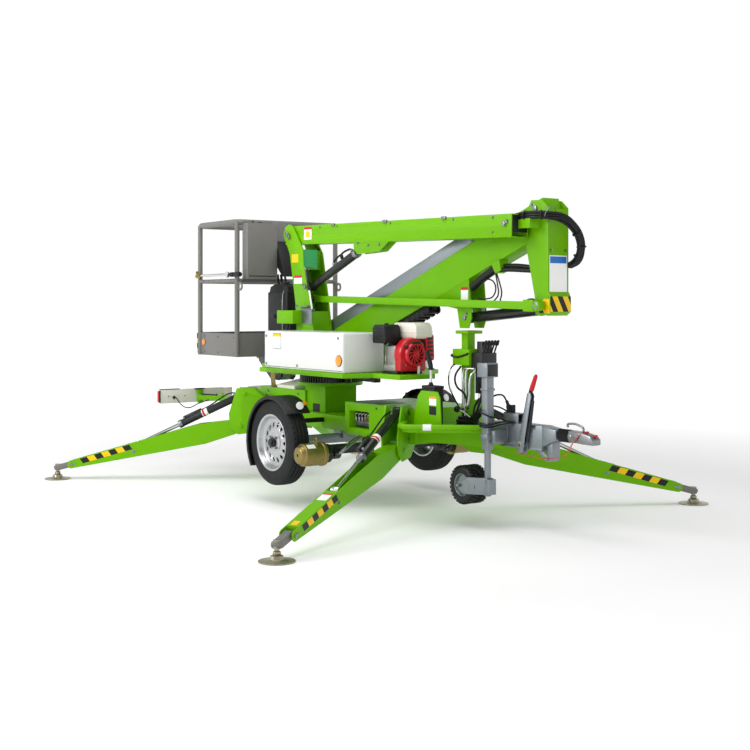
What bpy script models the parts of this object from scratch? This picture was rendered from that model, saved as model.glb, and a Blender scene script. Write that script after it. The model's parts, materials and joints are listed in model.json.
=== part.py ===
"""Towable boom lift: a single-axle trailer chassis on four swing-down legs,
a slewing turntable with a parallelogram lower boom, a telescopic upper boom
and a levelled basket. Metres, +X to the drawbar, +Y to the left, +Z up."""
import math

import bmesh
import bpy
from mathutils import Matrix, Vector

for old in list(bpy.data.objects):
    bpy.data.objects.remove(old, do_unlink=True)

# Overall placing: the axle stands at this X, so that the box's centre is at 0
AXLE_X = -0.1174
SEAT = 0.0003
PIN_PLAY = 0.0003
SIDE_PLAY = 0.006

# Running gear
WHEEL_R = 0.29
TYRE_W = 0.147
TRACK = 1.274
WHEEL_Z = 0.416
RIM_R = 0.182
RIM_HOLES, HOLE_AT, HOLE_R = 14, 0.120, 0.0135
AXLE_HALF = 0.03
STUB_R = 0.024
STUB_BORE = STUB_R + 2 * PIN_PLAY
GUARD_R = 0.310
GUARD_X = 0.010
GUARD_T = 0.006
GUARD_LIP = 0.016
GUARD_Y = (0.546, 0.7245)
GUARD_ARC = (42, 215)

# Chassis
MID_LOW, MID_TOP, MID_HALF = 0.47, 0.575, 0.20
DECK_FROM, DECK_TO, DECK_HALF = 0.25, 1.04, 0.27
DECK_LOW, DECK_TOP = 0.47, 0.69
REAR_FROM, REAR_TO, REAR_HALF = -1.10, -0.45, 0.15
REAR_LOW, REAR_TOP = 0.47, 0.72
CROSS_REAR = -1.14
NOSE_TO, NOSE_HALF = 1.60, 0.06
NOSE_LOW, NOSE_TOP = 0.485, 0.585

# Legs: hinge, plan angle from the X axis, and the linkage in the leg's plane
LEG_Z = 0.43
LEG_REACH = 1.45
ANKLE_Z = 0.09
LEG_W = 0.085
LEG_PIN_R = 0.016
LEG_GAP = LEG_W + 2 * (SIDE_PLAY + 0.0015)
LEG_PLATE = 0.010
FOLD_MAX = 60.0
RAM_TOP = (-0.03, 0.245)
RAM_EYE = (0.81, 0.04)
RAM_BARREL = 0.567
ANKLE_PIN = 1.365
ANKLE_REACH = 1.489
ANKLE_W = 0.050
LEG_WALL = 0.006
RAM_R, RAM_ROD_R = 0.028, 0.014
PAD_R = 0.10

# Slew, tower and lower boom, on the right of the centre line
SLEW_X = -0.34
PED_HALF = 0.135
RING_R = 0.226
RING_Z = (0.789, 0.835)
PLATE_Z = (0.875, 0.905)
TOWER_Y = (-0.216, -0.052)
TOWER_T = 0.010
BOOM1_Y = (-0.200, -0.068)
BOOM1_H = 0.136
BOOM1_T = 0.006
P1 = (-0.575, 1.866)
K1 = (1.800, 1.816)
T1 = (-0.400, 1.390)
T2 = (T1[0] + K1[0] - P1[0], T1[1] + K1[1] - P1[1])
B1 = (-0.330, 1.475)
R1 = (0.300, 1.725)
LOW_RANGE = 70.0
LIFT1_Y, LIFT1_R, LIFT1_ROD = -0.165, 0.030, 0.017
EYE_ROOM = 0.0577
TIE_Y, TIE_W, TIE_H = -0.096, 0.044, 0.046

# Knuckle, upper boom and fly, on the centre line's left
KN_Y = (-0.060, 0.100)
KN_T = 0.008
BOOM2_Y = (-0.045, 0.085)
BOOM2_T = 0.006
BOOM2_V = (-0.158, 0.042)
BOOM2_TIP = 2.40
P2 = (1.910, 1.905)
SLOPE = math.radians(20.15)
L2 = (1.250, 1.265)
KB = (1.950, 1.325)
UP_RANGE = 62.0
LIFT2_R, LIFT2_ROD = 0.034, 0.019
FLY_W = 0.100
FLY_V = (-0.055, BOOM2_V[1] - BOOM2_T - 0.0005)
FLY_FROM, FLY_TO = 0.55, 3.17
FLY_PIN_U, FLY_PIN_V = 3.10, -0.01

# Basket
BK_X = (-1.62, -1.02)
BK_Y = (-0.40, 0.49)
BK_LOW, BK_TOE, BK_MID, BK_TOP = 0.95, 1.13, 1.53, 1.995
RAIL_R = 0.019

GREEN = (0.165, 0.60, 0.0)
ZINC = (0.56, 0.58, 0.60)
COLOURS = {
    "green": (GREEN, 0.0, 0.32),
    "zinc": (ZINC, 0.8, 0.42),
    "black": ((0.02, 0.02, 0.022), 0.0, 0.38),
    "chrome": ((0.75, 0.76, 0.78), 1.0, 0.12),
    "rubber": ((0.018, 0.018, 0.019), 0.0, 0.85),
    "silver": ((0.62, 0.63, 0.65), 0.85, 0.35),
    "white": ((0.86, 0.86, 0.84), 0.0, 0.35),
    "cream": ((0.78, 0.77, 0.70), 0.0, 0.5),
    "grey": ((0.23, 0.22, 0.21), 0.0, 0.5),
    "red": ((0.50, 0.01, 0.015), 0.0, 0.35),
    "brass": ((0.42, 0.33, 0.14), 0.8, 0.4),
}


def material(name, kind):
    rgb, metallic, rough = COLOURS[kind]
    mat = bpy.data.materials.new(name)
    mat.use_nodes = True
    shader = mat.node_tree.nodes["Principled BSDF"]
    shader.inputs["Base Color"].default_value = (*rgb, 1.0)
    shader.inputs["Metallic"].default_value = metallic
    shader.inputs["Roughness"].default_value = rough
    return mat


def box(x0, x1, y0, y1, z0, z1):
    shape = bmesh.new()
    bmesh.ops.create_cube(shape, size=1.0)
    size = Matrix.Diagonal((x1 - x0, y1 - y0, z1 - z0, 1.0))
    middle = Vector(((x0 + x1) / 2, (y0 + y1) / 2, (z0 + z1) / 2))
    shape.transform(Matrix.Translation(middle) @ size)
    return shape


def prism(points, y0, y1):
    """A polygon in X and Z, given in order, that runs from y0 to y1."""
    shape = bmesh.new()
    near = [shape.verts.new((x, y0, z)) for x, z in points]
    far = [shape.verts.new((x, y1, z)) for x, z in points]
    shape.faces.new(near)
    shape.faces.new(far[::-1])
    for i in range(len(points)):
        j = (i + 1) % len(points)
        shape.faces.new((near[j], near[i], far[i], far[j]))
    bmesh.ops.recalc_face_normals(shape, faces=shape.faces)
    return shape


def slab(points, z0, z1):
    """A polygon in X and Y, given in order, that runs from z0 to z1."""
    shape = prism(points, -z1, -z0)
    shape.transform(Matrix.Rotation(math.radians(-90), 4, "X"))
    return shape


def pipe(points, r, segments=10):
    """A round bar along a bent line, mitred at its corners."""
    points = [Vector(p) for p in points]
    shape = bmesh.new()
    rings = []
    for i, p in enumerate(points):
        before = (p - points[i - 1]).normalized() if i else (points[1] - p).normalized()
        after = (points[i + 1] - p).normalized() if i + 1 < len(points) else before
        along = (before + after).normalized()
        side = before.cross(Vector((0, 0, 1))).normalized()
        up = side.cross(before)
        ring = []
        for k in range(segments):
            a = 2 * math.pi * (k + 0.5) / segments
            offset = (side * math.cos(a) + up * math.sin(a)) * r
            offset -= before * (offset.dot(along) / before.dot(along))
            ring.append(shape.verts.new(p + offset))
        rings.append(ring)
    for here, there in zip(rings, rings[1:]):
        for k in range(segments):
            j = (k + 1) % segments
            shape.faces.new((here[k], here[j], there[j], there[k]))
    shape.faces.new(rings[0])
    shape.faces.new(rings[-1])
    bmesh.ops.recalc_face_normals(shape, faces=shape.faces)
    return shape


def rod(p, q, r, segments=12):
    """A round bar from point p to point q."""
    p, q = Vector(p), Vector(q)
    shape = bmesh.new()
    bmesh.ops.create_cone(
        shape, cap_ends=True, segments=segments,
        radius1=r, radius2=r, depth=(q - p).length,
    )
    turn = (q - p).to_track_quat("Z", "Y").to_matrix().to_4x4()
    shape.transform(Matrix.Translation((p + q) / 2) @ turn)
    return shape


def bore(p, q, r, segments=12):
    """The cutter of a hole that a pin of radius r turns in with play all round."""
    return rod(p, q, (r + PIN_PLAY) / math.cos(math.pi / segments), segments)


def turned(profile, centre, axis="Y", segments=32):
    """A ring or disc turned about an axis, from a closed list of (radius, along)."""
    shape = bmesh.new()
    rings = []
    for k in range(segments):
        a = 2 * math.pi * k / segments
        rings.append([
            shape.verts.new((r * math.cos(a), r * math.sin(a), t)) for r, t in profile
        ])
    n = len(profile)
    for k in range(segments):
        here, there = rings[k], rings[(k + 1) % segments]
        for i in range(n):
            j = (i + 1) % n
            shape.faces.new((here[i], here[j], there[j], there[i]))
    if axis == "Y":
        shape.transform(Matrix.Rotation(math.radians(-90), 4, "X"))
    if axis == "X":
        shape.transform(Matrix.Rotation(math.radians(90), 4, "Y"))
    shape.transform(Matrix.Translation(Vector(centre)))
    bmesh.ops.recalc_face_normals(shape, faces=shape.faces)
    return shape


def solid(shape, name):
    mesh = bpy.data.meshes.new(name)
    shape.to_mesh(mesh)
    shape.free()
    obj = bpy.data.objects.new(name, mesh)
    bpy.context.scene.collection.objects.link(obj)
    return obj


def part(name, kind, pivot, shapes, cuts=(), place=None, last=()):
    """One closed body: shapes joined, less the cuts, plus the last; origin on pivot."""
    obj = solid(shapes[0], name)
    tools = []
    for how, group in (("UNION", shapes[1:]), ("DIFFERENCE", cuts), ("UNION", last)):
        for shape in group:
            tool = solid(shape, name + "_tool")
            tools.append(tool)
            step = obj.modifiers.new(how.lower(), "BOOLEAN")
            step.operation = how
            step.solver = "EXACT"
            step.object = tool
    depsgraph = bpy.context.evaluated_depsgraph_get()
    depsgraph.update()
    made = bpy.data.meshes.new_from_object(obj.evaluated_get(depsgraph))
    made.name = name
    obj.modifiers.clear()
    obj.data = made
    for tool in tools:
        bpy.data.objects.remove(tool, do_unlink=True)
    if place is not None:
        made.transform(place)
    pivot = Vector(pivot)
    made.transform(Matrix.Translation(-pivot))
    obj.location = pivot + Vector((AXLE_X, 0, 0))
    made.materials.clear()
    made.materials.append(material(name + "_" + kind, kind))
    return obj


def at(point, y):
    return (point[0], y, point[1])


def span(p, q):
    return (Vector(q) - Vector(p)).length


def strip(p, q, half, past_p=0.0, past_q=0.0):
    """The four corners, in X and Z, of a bar of height 2 x half from p to q."""
    way = Vector((q[0] - p[0], q[1] - p[1])).normalized()
    up = Vector((-way.y, way.x)) * half
    a = Vector(p) - way * past_p
    b = Vector(q) + way * past_q
    return [tuple(a - up), tuple(b - up), tuple(b + up), tuple(a + up)]


def cylinder_pair(name, base, eye, y, barrel_r, rod_r, barrel, pin_r, eye_w, place=None,
                  stem=0.055):
    """A hydraulic cylinder in X and Z: a barrel pinned at base, a rod to eye."""
    way = Vector((eye[0] - base[0], eye[1] - base[1])).normalized()

    def along(d):
        return (base[0] + way.x * d, y, base[1] + way.y * d)

    length = span(base, eye)
    body = part(
        name + "_barrel", "black", at(base, y) if place is None else place @ Vector(at(base, y)),
        [
            rod(along(0.02), along(barrel), barrel_r),
            rod(at(base, y - eye_w / 2), at(base, y + eye_w / 2), barrel_r),
        ],
        [
            bore(at(base, y - eye_w), at(base, y + eye_w), pin_r),
            bore(along(0.045), along(barrel + 0.05), rod_r),
        ],
        place,
    )
    piston = part(
        name + "_rod", "chrome", at(eye, y) if place is None else place @ Vector(at(eye, y)),
        [
            rod(along(stem), along(length), rod_r),
            rod(at(eye, y - eye_w / 2), at(eye, y + eye_w / 2), rod_r + 0.010),
        ],
        (),
        place,
    )
    return body, piston


# Chassis: one welded frame with the four pairs of leg plates
CORNERS = (
    # name, hinge x, hinge y, plan angle in degrees
    ("front_right", 0.95, -0.36, -61.7),
    ("front_left", 0.95, 0.36, 61.7),
    ("rear_right", -1.05, -0.34, 180 + 48.7),
    ("rear_left", -1.05, 0.34, 180 - 48.7),
)
PLATE = (
    # along the leg's plan line from the hinge, height over the hinge
    (-0.20, 0.06), (-0.10, -0.05), (0.02, -0.065), (0.08, -0.01),
    (0.09, 0.09), (0.03, 0.285), (-0.10, 0.285), (-0.20, 0.20),
)


def corner_place(x, y, angle):
    turn = Matrix.Rotation(math.radians(angle), 4, "Z")
    return Matrix.Translation((x, y, LEG_Z)) @ turn


def moved(shape, matrix):
    shape.transform(matrix)
    return shape


frame = [
    box(REAR_FROM, REAR_TO, -REAR_HALF, REAR_HALF, REAR_LOW, REAR_TOP),
    box(REAR_TO - 0.05, DECK_FROM + 0.05, -MID_HALF, MID_HALF, MID_LOW + 0.004, MID_TOP),
    box(DECK_FROM, DECK_TO, -DECK_HALF, DECK_HALF, DECK_LOW, DECK_TOP),
    slab([
        (DECK_TO - 0.03, -0.24), (NOSE_TO, -NOSE_HALF),
        (NOSE_TO, NOSE_HALF), (DECK_TO - 0.03, 0.24),
    ], NOSE_LOW, NOSE_TOP),
    box(CROSS_REAR, CROSS_REAR + 0.14, -0.245, 0.245, 0.49, 0.66),
]
for _, x, y, angle in CORNERS:
    for side in (-1, 1):
        inner = side * LEG_GAP / 2
        outer = inner + side * LEG_PLATE
        frame.append(moved(prism(PLATE, min(inner, outer), max(inner, outer)),
                           corner_place(x, y, angle)))
    for s, z in ((0, 0), RAM_TOP):
        frame.append(moved(
            rod((s, -LEG_GAP / 2 - LEG_PLATE - 0.008, z), (s, LEG_GAP / 2 + LEG_PLATE + 0.008, z),
                LEG_PIN_R, 10),
            corner_place(x, y, angle)))
# shelf and hoop bar round the front right corner
SHELF = ((0.99, -0.20), (1.05, -0.33), (1.14, -0.45), (1.22, -0.47), (1.53, -0.12), (1.495, -0.06))
frame.append(slab(SHELF, 0.572, 0.592))
HOOP = ((1.00, -0.315), (1.13, -0.455), (1.215, -0.475), (1.565, -0.085))
frame.append(pipe([(*p, 0.604) for p in HOOP], 0.019, 8))
# openings in the deck box's side walls, where the hydraulic lines show
WINDOW = (DECK_FROM + 0.05, DECK_FROM + 0.28, DECK_LOW + 0.05, DECK_TOP - 0.055)
WINDOW_DEPTH = 0.06
windows = [
    box(*WINDOW[:2], *sorted((side * (DECK_HALF - WINDOW_DEPTH), side * (DECK_HALF + 0.01))),
        *WINDOW[2:])
    for side in (-1, 1)
]
part("chassis_frame", "green", (0, 0, LEG_Z), frame, windows)

# arms of the lamp boards, bolted to the rear cross box
ARM_ROOT, ARM_TIP = (CROSS_REAR - SEAT, 0.142), (-1.70, 0.34)
ARM_W, ARM_LOW, ARM_TOP = 0.040, 0.585, 0.625
for side, label in ((-1, "right"), (1, "left")):
    outline = [ARM_ROOT, (ARM_ROOT[0], ARM_ROOT[1] + ARM_W), (ARM_TIP[0], ARM_TIP[1] + ARM_W),
               ARM_TIP]
    part("lamp_arm_" + label, "green", (ARM_ROOT[0], side * ARM_ROOT[1], ARM_LOW), [
        slab([(x, side * y) for x, y in outline], ARM_LOW, ARM_TOP),
        box(ARM_ROOT[0] - 0.008, ARM_ROOT[0], *sorted((side * 0.125, side * 0.20)),
            ARM_LOW - 0.025, ARM_TOP + 0.025),
        box(-1.722, -1.690, *sorted((side * ARM_TIP[1], side * (ARM_TIP[1] + ARM_W))), 0.56, 0.67),
    ])

part("pedestal", "green", (SLEW_X, 0, MID_TOP + SEAT), [
    box(SLEW_X - PED_HALF, SLEW_X + PED_HALF, -PED_HALF, PED_HALF, MID_TOP + SEAT, 0.775),
    rod((SLEW_X, 0, 0.765), (SLEW_X, 0, RING_Z[0] - SEAT), 0.235, 24),
], [box(SLEW_X - 0.30, REAR_TO + SEAT, -0.2, 0.2, 0.5, REAR_TOP + SEAT)])
part("slew_ring", "black", (SLEW_X, 0, RING_Z[0]), [
    turned([(0.16, RING_Z[0]), (RING_R, RING_Z[0]), (RING_R, RING_Z[1]), (0.16, RING_Z[1])],
           (SLEW_X, 0, 0), "Z", 24),
])

# Axle, wheels and mudguards
axle_cross = (-AXLE_HALF, AXLE_HALF)
part("axle_beam", "zinc", (0, 0, WHEEL_Z), [
    box(*axle_cross, -0.50, 0.50, WHEEL_Z - AXLE_HALF, WHEEL_Z + AXLE_HALF),
    box(-0.06, 0.06, 0.10, 0.16, WHEEL_Z, MID_LOW + 0.004 - SEAT),
    box(-0.06, 0.06, -0.16, -0.10, WHEEL_Z, MID_LOW + 0.004 - SEAT),
    rod((0, -0.665, WHEEL_Z), (0, 0.665, WHEEL_Z), STUB_R, 16),
])
DRIVE_AT = (0.378, 0.367)
DRIVE_STEPS = (
    # distance from the centre line to start and end, radius
    (0.560, 0.700, 0.075), (0.699, 0.730, 0.060), (0.535, 0.561, 0.080),
    (0.490, 0.536, 0.062), (0.410, 0.491, 0.042),
)
TYRE = (
    # radius, distance from the tyre's middle, as a share of its width
    (RIM_R, -0.44), (0.215, -0.50), (0.262, -0.49), (0.283, -0.42), (WHEEL_R, -0.34),
    (WHEEL_R, 0.34), (0.283, 0.42), (0.262, 0.49), (0.215, 0.50), (RIM_R, 0.44),
)


def guard_arc(inner, outer, short=0.0, steps=16):
    """A curved band over the wheel, between two radii, in X and Z."""
    first, last = GUARD_ARC[0] + short, GUARD_ARC[1] - short
    turns = [math.radians(first + k * (last - first) / steps) for k in range(steps + 1)]
    rings = [(outer, a) for a in turns] + [(inner, a) for a in turns[::-1]]
    return [(GUARD_X + r * math.cos(a), WHEEL_Z + r * math.sin(a)) for r, a in rings]


for side, label in ((-1, "right"), (1, "left")):
    middle = side * TRACK / 2
    centre = (0, middle, WHEEL_Z)
    part("tyre_" + label, "rubber", centre,
         [turned([(r, t * TYRE_W) for r, t in TYRE], centre, "Y", 28)])
    t0 = 0.44 * TYRE_W
    rim = [
        (RIM_R - 0.001, -t0), (RIM_R - 0.001, t0), (0.170, t0), (0.150, 0.02),
        (0.068, 0.047), (STUB_BORE, 0.055), (STUB_BORE, -0.03), (0.06, -0.03),
        (0.145, 0.0), (0.170, -t0),
    ]
    holes = []
    for k in range(RIM_HOLES):
        a = 2 * math.pi * k / RIM_HOLES
        spot = (HOLE_AT * math.cos(a), 0, HOLE_AT * math.sin(a))
        cut = rod((0, -0.1, 0), (0, 0.1, 0), HOLE_R, 6)
        cut.transform(Matrix.Rotation(-a, 4, "Y") @ Matrix.Diagonal((1.3, 1, 1, 1)))
        cut.transform(Matrix.Translation(Vector(centre) + Vector(spot)))
        holes.append(cut)
    part("rim_" + label, "silver", centre,
         [turned([(r, side * t) for r, t in rim], centre, "Y", 28)], holes)
    y0, y1 = sorted((side * GUARD_Y[0], side * GUARD_Y[1]))
    lip = sorted((side * (GUARD_Y[1] - GUARD_T), side * (GUARD_Y[1] + 0.0005)))
    part("mudguard_" + label, "black", (0, middle, WHEEL_Z), [
        prism(guard_arc(GUARD_R, GUARD_R + GUARD_T), y0, y1),
        prism(guard_arc(GUARD_R - GUARD_LIP, GUARD_R + GUARD_T / 2, 0.6), *lip),
        box(-0.155, -0.12, *sorted((side * (MID_HALF + SEAT), side * 0.556)), 0.52, 0.55),
        box(-0.155, -0.12, *sorted((side * 0.540, side * 0.556)), 0.52, 0.694),
    ])
    drum_x, drum_z = DRIVE_AT
    part("traction_drive_" + label, "brass", (drum_x, side * 0.6, drum_z), [
        *[rod((drum_x, side * a, drum_z), (drum_x, side * b, drum_z), r, 14)
          for a, b, r in DRIVE_STEPS],
        box(drum_x - 0.03, drum_x + 0.03, *sorted((side * 0.14, side * 0.50)), 0.36, 0.42),
        box(drum_x - 0.03, drum_x + 0.03, *sorted((side * 0.14, side * 0.20)), 0.36,
            DECK_LOW - SEAT),
    ])

# Drawbar end: overrun coupling, handbrake, jack
TUBE_Z = 0.60


def bellows(x0, x1, folds=4):
    """The profile of a rubber bellows along X, as (radius, along)."""
    step = (x1 - x0) / (2 * folds)
    outer = [(0.036 if k % 2 else 0.026, x0 + k * step) for k in range(2 * folds + 1)]
    return [(0.020, x0), *outer, (0.020, x1)]


part("overrun_coupling", "zinc", (NOSE_TO, 0, 0.54), [
    prism([(NOSE_TO - 0.10, NOSE_TOP + SEAT), (NOSE_TO + SEAT, NOSE_TOP + SEAT),
           (NOSE_TO + SEAT, 0.50), (1.95, 0.50), (1.95, 0.645), (NOSE_TO - 0.10, 0.645)],
          -0.045, 0.045),
    prism([(1.94, 0.52), (2.06, 0.57), (2.06, 0.63), (1.94, 0.645)], -0.043, 0.043),
    rod((2.04, 0, TUBE_Z), (2.20, 0, TUBE_Z), 0.024),
    turned(bellows(2.045, 2.150), (0, 0, TUBE_Z), "X", 12),
    prism([(2.148, 0.572), (2.255, 0.566), (2.342, 0.565), (2.342, 0.598), (2.318, 0.618),
           (2.255, 0.630), (2.148, 0.635)], -0.034, 0.034),
    prism([(2.16, 0.63), (2.20, 0.63), (2.16, 0.665), (2.08, 0.672), (2.08, 0.66), (2.14, 0.655)],
          -0.012, 0.012),
    prism([(1.86, 0.505), (2.02, 0.56), (2.02, 0.45), (1.98, 0.44)], -0.03, 0.03),
    rod((1.80, -0.086, 0.525), (1.80, 0.0, 0.525), 0.012),
], [prism([(1.915, 0.497), (1.995, 0.525), (1.992, 0.466), (1.976, 0.464)], -0.05, 0.05),
    rod((2.30, 0, 0.55), (2.30, 0, 0.60), 0.025)])
part("handbrake_lever", "zinc", (1.80, -0.068, 0.525), [
    prism([(1.772, 0.49), (1.825, 0.49), (1.90, 0.82), (1.925, 0.94), (1.90, 0.945), (1.86, 0.83)],
          -0.082, -0.054),
], [bore((1.80, -0.2, 0.525), (1.80, 0.2, 0.525), 0.012)])
JACK_X, JACK_Y = 1.60, -0.157
part("jack_mast", "zinc", (JACK_X, JACK_Y, 0.5), [
    box(JACK_X - 0.0275, JACK_X + 0.0275, JACK_Y - 0.0275, JACK_Y + 0.0275, 0.42, 0.92),
    box(JACK_X - 0.045, JACK_X + 0.045, JACK_Y - 0.045, JACK_Y + 0.045, 0.915, 1.0),
    box(NOSE_TO + SEAT, NOSE_TO + 0.06, JACK_Y, -0.045 - SEAT, 0.52, 0.60),
], [rod((JACK_X, JACK_Y, 0.3), (JACK_X, JACK_Y, 0.88), 0.0205)])
JOCKEY_X, JOCKEY_Z, JOCKEY_R = 1.43, 0.259, 0.118
FORK_Y = (JACK_Y - 0.080, JACK_Y + 0.080)
part("jack_leg", "zinc", (JACK_X, JACK_Y, 0.42), [
    rod((JACK_X, JACK_Y, 0.21), (JACK_X, JACK_Y, 0.70), 0.020),
    box(JACK_X - 0.032, JACK_X + 0.045, *FORK_Y, 0.215, 0.315),
    prism([(JACK_X, 0.215), (JACK_X, 0.315), (1.50, 0.315), (1.42, 0.285), (1.405, 0.26),
           (1.42, 0.235), (1.50, 0.215)], FORK_Y[0], FORK_Y[0] + 0.006),
    prism([(JACK_X, 0.215), (JACK_X, 0.315), (1.50, 0.315), (1.42, 0.285), (1.405, 0.26),
           (1.42, 0.235), (1.50, 0.215)], FORK_Y[1] - 0.006, FORK_Y[1]),
    rod((JOCKEY_X, FORK_Y[0] - 0.008, JOCKEY_Z), (JOCKEY_X, FORK_Y[1] + 0.008, JOCKEY_Z), 0.010),
])
jockey = []
for side in (-1, 1):
    mid = JACK_Y + side * 0.036
    jockey.append(turned([
        (0.0105, -0.03), (0.07, -0.03), (0.108, -0.028), (JOCKEY_R, -0.018),
        (JOCKEY_R, 0.018), (0.108, 0.028), (0.07, 0.03), (0.0105, 0.03),
    ], (JOCKEY_X, mid, JOCKEY_Z), "Y", 14))
jockey.append(turned([(0.0105, -0.02), (0.03, -0.02), (0.03, 0.02), (0.0105, 0.02)],
                     (JOCKEY_X, JACK_Y, JOCKEY_Z), "Y", 14))
part("jockey_wheels", "rubber", (JOCKEY_X, JACK_Y, JOCKEY_Z), jockey)

# Fittings on the chassis
part("control_post", "green", (1.23, 0, NOSE_TOP), [
    box(1.20, 1.26, -0.03, 0.03, NOSE_TOP + SEAT, 1.17),
    box(1.165, 1.285, -0.05, 0.07, 1.165, 1.185),
    box(1.16, 1.32, -0.07, 0.06, 0.97, 1.07),
])
LEVER_Y = (-0.036, -0.012, 0.012, 0.036, 0.060)
part("control_valve", "black", (1.37, 0.02, 0.97), [
    box(1.32 + SEAT, 1.42, -0.05, 0.07, 0.955, 1.05),
    box(1.35, 1.40, -0.03, 0.05, 1.04, 1.12),
    box(1.345, 1.40, -0.04, 0.06, 0.80, 0.97),
    *[rod((1.40, y, 1.03), (1.445, y, 1.125), 0.006, 6) for y in LEVER_Y],
])
part("guard_panel", "green", (1.18, -0.29, 0.592), [
    prism([(1.045, 0.592 + SEAT), (1.33, 0.592 + SEAT), (1.315, 0.78), (1.29, 0.815),
           (1.13, 0.815), (1.095, 0.78)], -0.296, -0.288),
    prism([(1.05, 0.592 + SEAT), (1.33, 0.592 + SEAT), (1.32, 0.604), (1.055, 0.604)],
          -0.292, -0.20),
    box(1.11, 1.23, -0.27, -0.20, 0.600, 0.845),
    rod((1.17, -0.25, 0.83), (1.175, -0.255, 0.96), 0.008, 12),
    rod((1.175, -0.255, 0.95), (1.15, -0.265, 1.06), 0.016, 12),
])
for side, label in ((-1, "right"), (1, "left")):
    y0, y1 = sorted((side * 0.14, side * 0.70))
    part("lamp_board_" + label, "cream", (-1.72, side * 0.4, 0.62), [
        box(-1.745, -1.722 - SEAT, y0, y1, 0.565, 0.675),
        box(-1.78, -1.74, *sorted((side * 0.56, side * 0.695)), 0.575, 0.665),
    ])
part("rear_box", "cream", (-0.65, 0, REAR_TOP), [
    moved(prism([(-0.15, REAR_TOP + SEAT), (0.148, REAR_TOP + SEAT), (0.148, 0.800),
                 (-0.15, 0.745)], 0.60, 0.85), Matrix.Rotation(math.radians(90), 4, "Z")),
])

# Turntable
part("turntable", "green", (SLEW_X, 0, RING_Z[1]), [
    rod((SLEW_X, 0, RING_Z[1] + SEAT), (SLEW_X, 0, PLATE_Z[0] + 0.01), 0.20, 24),
    slab([(-0.39, -0.57), (0.66, -0.57), (0.72, -0.37), (1.01, -0.37), (1.01, -0.09),
          (0.72, -0.02), (0.55, 0.30), (-0.39, 0.42), (-0.56, 0.30), (-0.57, -0.05),
          (-0.55, -0.24)], *PLATE_Z),
])
part("tank_shelf", "green", (-0.56, -0.145, PLATE_Z[0]), [
    slab([(-0.57 - SEAT, -0.05), (-0.92, -0.05), (-0.92, -0.24), (-0.55 - SEAT, -0.24)],
         *PLATE_Z),
])
top = PLATE_Z[1] + SEAT
part("side_cover_right", "white", (0.16, -0.4, top), [
    box(-0.34, 0.655, -0.56, -0.235, top, 1.165),
])
part("side_cover_left", "white", (0.0, 0.25, top), [
    slab([(-0.34, 0.14), (0.50, 0.14), (0.45, 0.29), (-0.34, 0.38)], top, 1.08),
])
part("hydraulic_tank", "black", (-0.75, -0.13, top), [
    box(-0.90, -0.62, -0.20, -0.065, top, 1.44),
    prism([(-0.90, 1.43), (-0.62, 1.43), (-0.64, 1.48), (-0.70, 1.50), (-0.82, 1.50),
           (-0.88, 1.48)], -0.19, -0.075),
])
ENGINE_Y = -0.23
CRANK_Z = 1.03
part("engine", "red", (0.85, ENGINE_Y, top), [
    box(0.77, 0.905, -0.32, -0.13, top + 0.018, 1.09),
    box(0.755, 0.915, -0.325, -0.285, top, top + 0.020),
    box(0.755, 0.915, -0.165, -0.125, top, top + 0.020),
    rod((0.895, ENGINE_Y, CRANK_Z), (0.972, ENGINE_Y, CRANK_Z), 0.108, 20),
    box(0.90, 0.968, -0.335, -0.125, top + 0.010, CRANK_Z),
    rod((0.970, ENGINE_Y, CRANK_Z), (1.000, ENGINE_Y, CRANK_Z), 0.078, 16),
    rod((0.705, ENGINE_Y, 0.99), (0.775, ENGINE_Y, 0.99), 0.050, 12),
    box(0.79, 0.92, -0.21, -0.11, 1.085, 1.135),
    prism([(0.73, 1.128), (0.975, 1.128), (0.985, 1.150), (0.980, 1.210), (0.955, 1.232),
           (0.750, 1.232), (0.725, 1.210), (0.722, 1.150)], -0.222, -0.088),
    rod((0.80, -0.155, 1.230), (0.80, -0.155, 1.240), 0.026, 12),
    box(0.77, 0.82, -0.29, -0.19, 1.06, 1.13),
    prism([(0.700, 1.100), (0.835, 1.100), (0.842, 1.120), (0.836, 1.205), (0.815, 1.220),
           (0.720, 1.220), (0.700, 1.200)], -0.365, -0.235),
    prism([(0.80, 0.990), (0.978, 0.990), (0.985, 1.010), (0.978, 1.150), (0.960, 1.162),
           (0.800, 1.162)], -0.140, -0.075),
])

# Tower: two cheeks, a rear web and the pins of what hangs in it
cheek = [
    (-0.445, top), (-0.150, top), (-0.245, 1.19), (-0.29, 1.42), (-0.36, 1.72),
    (-0.478, 1.87), (-0.53, 1.925), (-0.575, 1.937), (-0.625, 1.915), (-0.647, 1.86),
    (-0.56, 1.72), (-0.48, 1.36),
]
y_near, y_far = TOWER_Y
part("tower", "green", at(P1, sum(TOWER_Y) / 2), [
    prism(cheek, y_near, y_near + TOWER_T),
    prism(cheek, y_far - TOWER_T, y_far),
    prism([(-0.45, top + 0.001), (-0.43, top + 0.001), (-0.465, 1.37), (-0.54, 1.70),
           (-0.555, 1.70), (-0.479, 1.36)], y_near + 0.005, y_far - 0.005),
    prism([(-0.18, top + 0.001), (-0.165, top + 0.001), (-0.258, 1.19), (-0.273, 1.30),
           (-0.288, 1.30), (-0.273, 1.19)], y_near + 0.005, y_far - 0.005),
    box(-0.386, -0.376, y_near + 0.005, y_far - 0.005, 1.60, 1.74),
    rod(at(P1, y_near - 0.012), at(P1, y_far - 0.002), 0.020),
    rod(at(B1, y_near - 0.010), at(B1, LIFT1_Y + 0.032), 0.014),
    rod(at(T1, TIE_Y - TIE_W / 2 - 0.004), at(T1, y_far - 0.002), 0.014),
    box(-0.60, -0.38, -0.300, y_near + 0.002, 1.21, 1.305),
], [box(-0.61, -0.45, -0.292, y_near - 0.004, 1.218, 1.297)])


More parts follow.
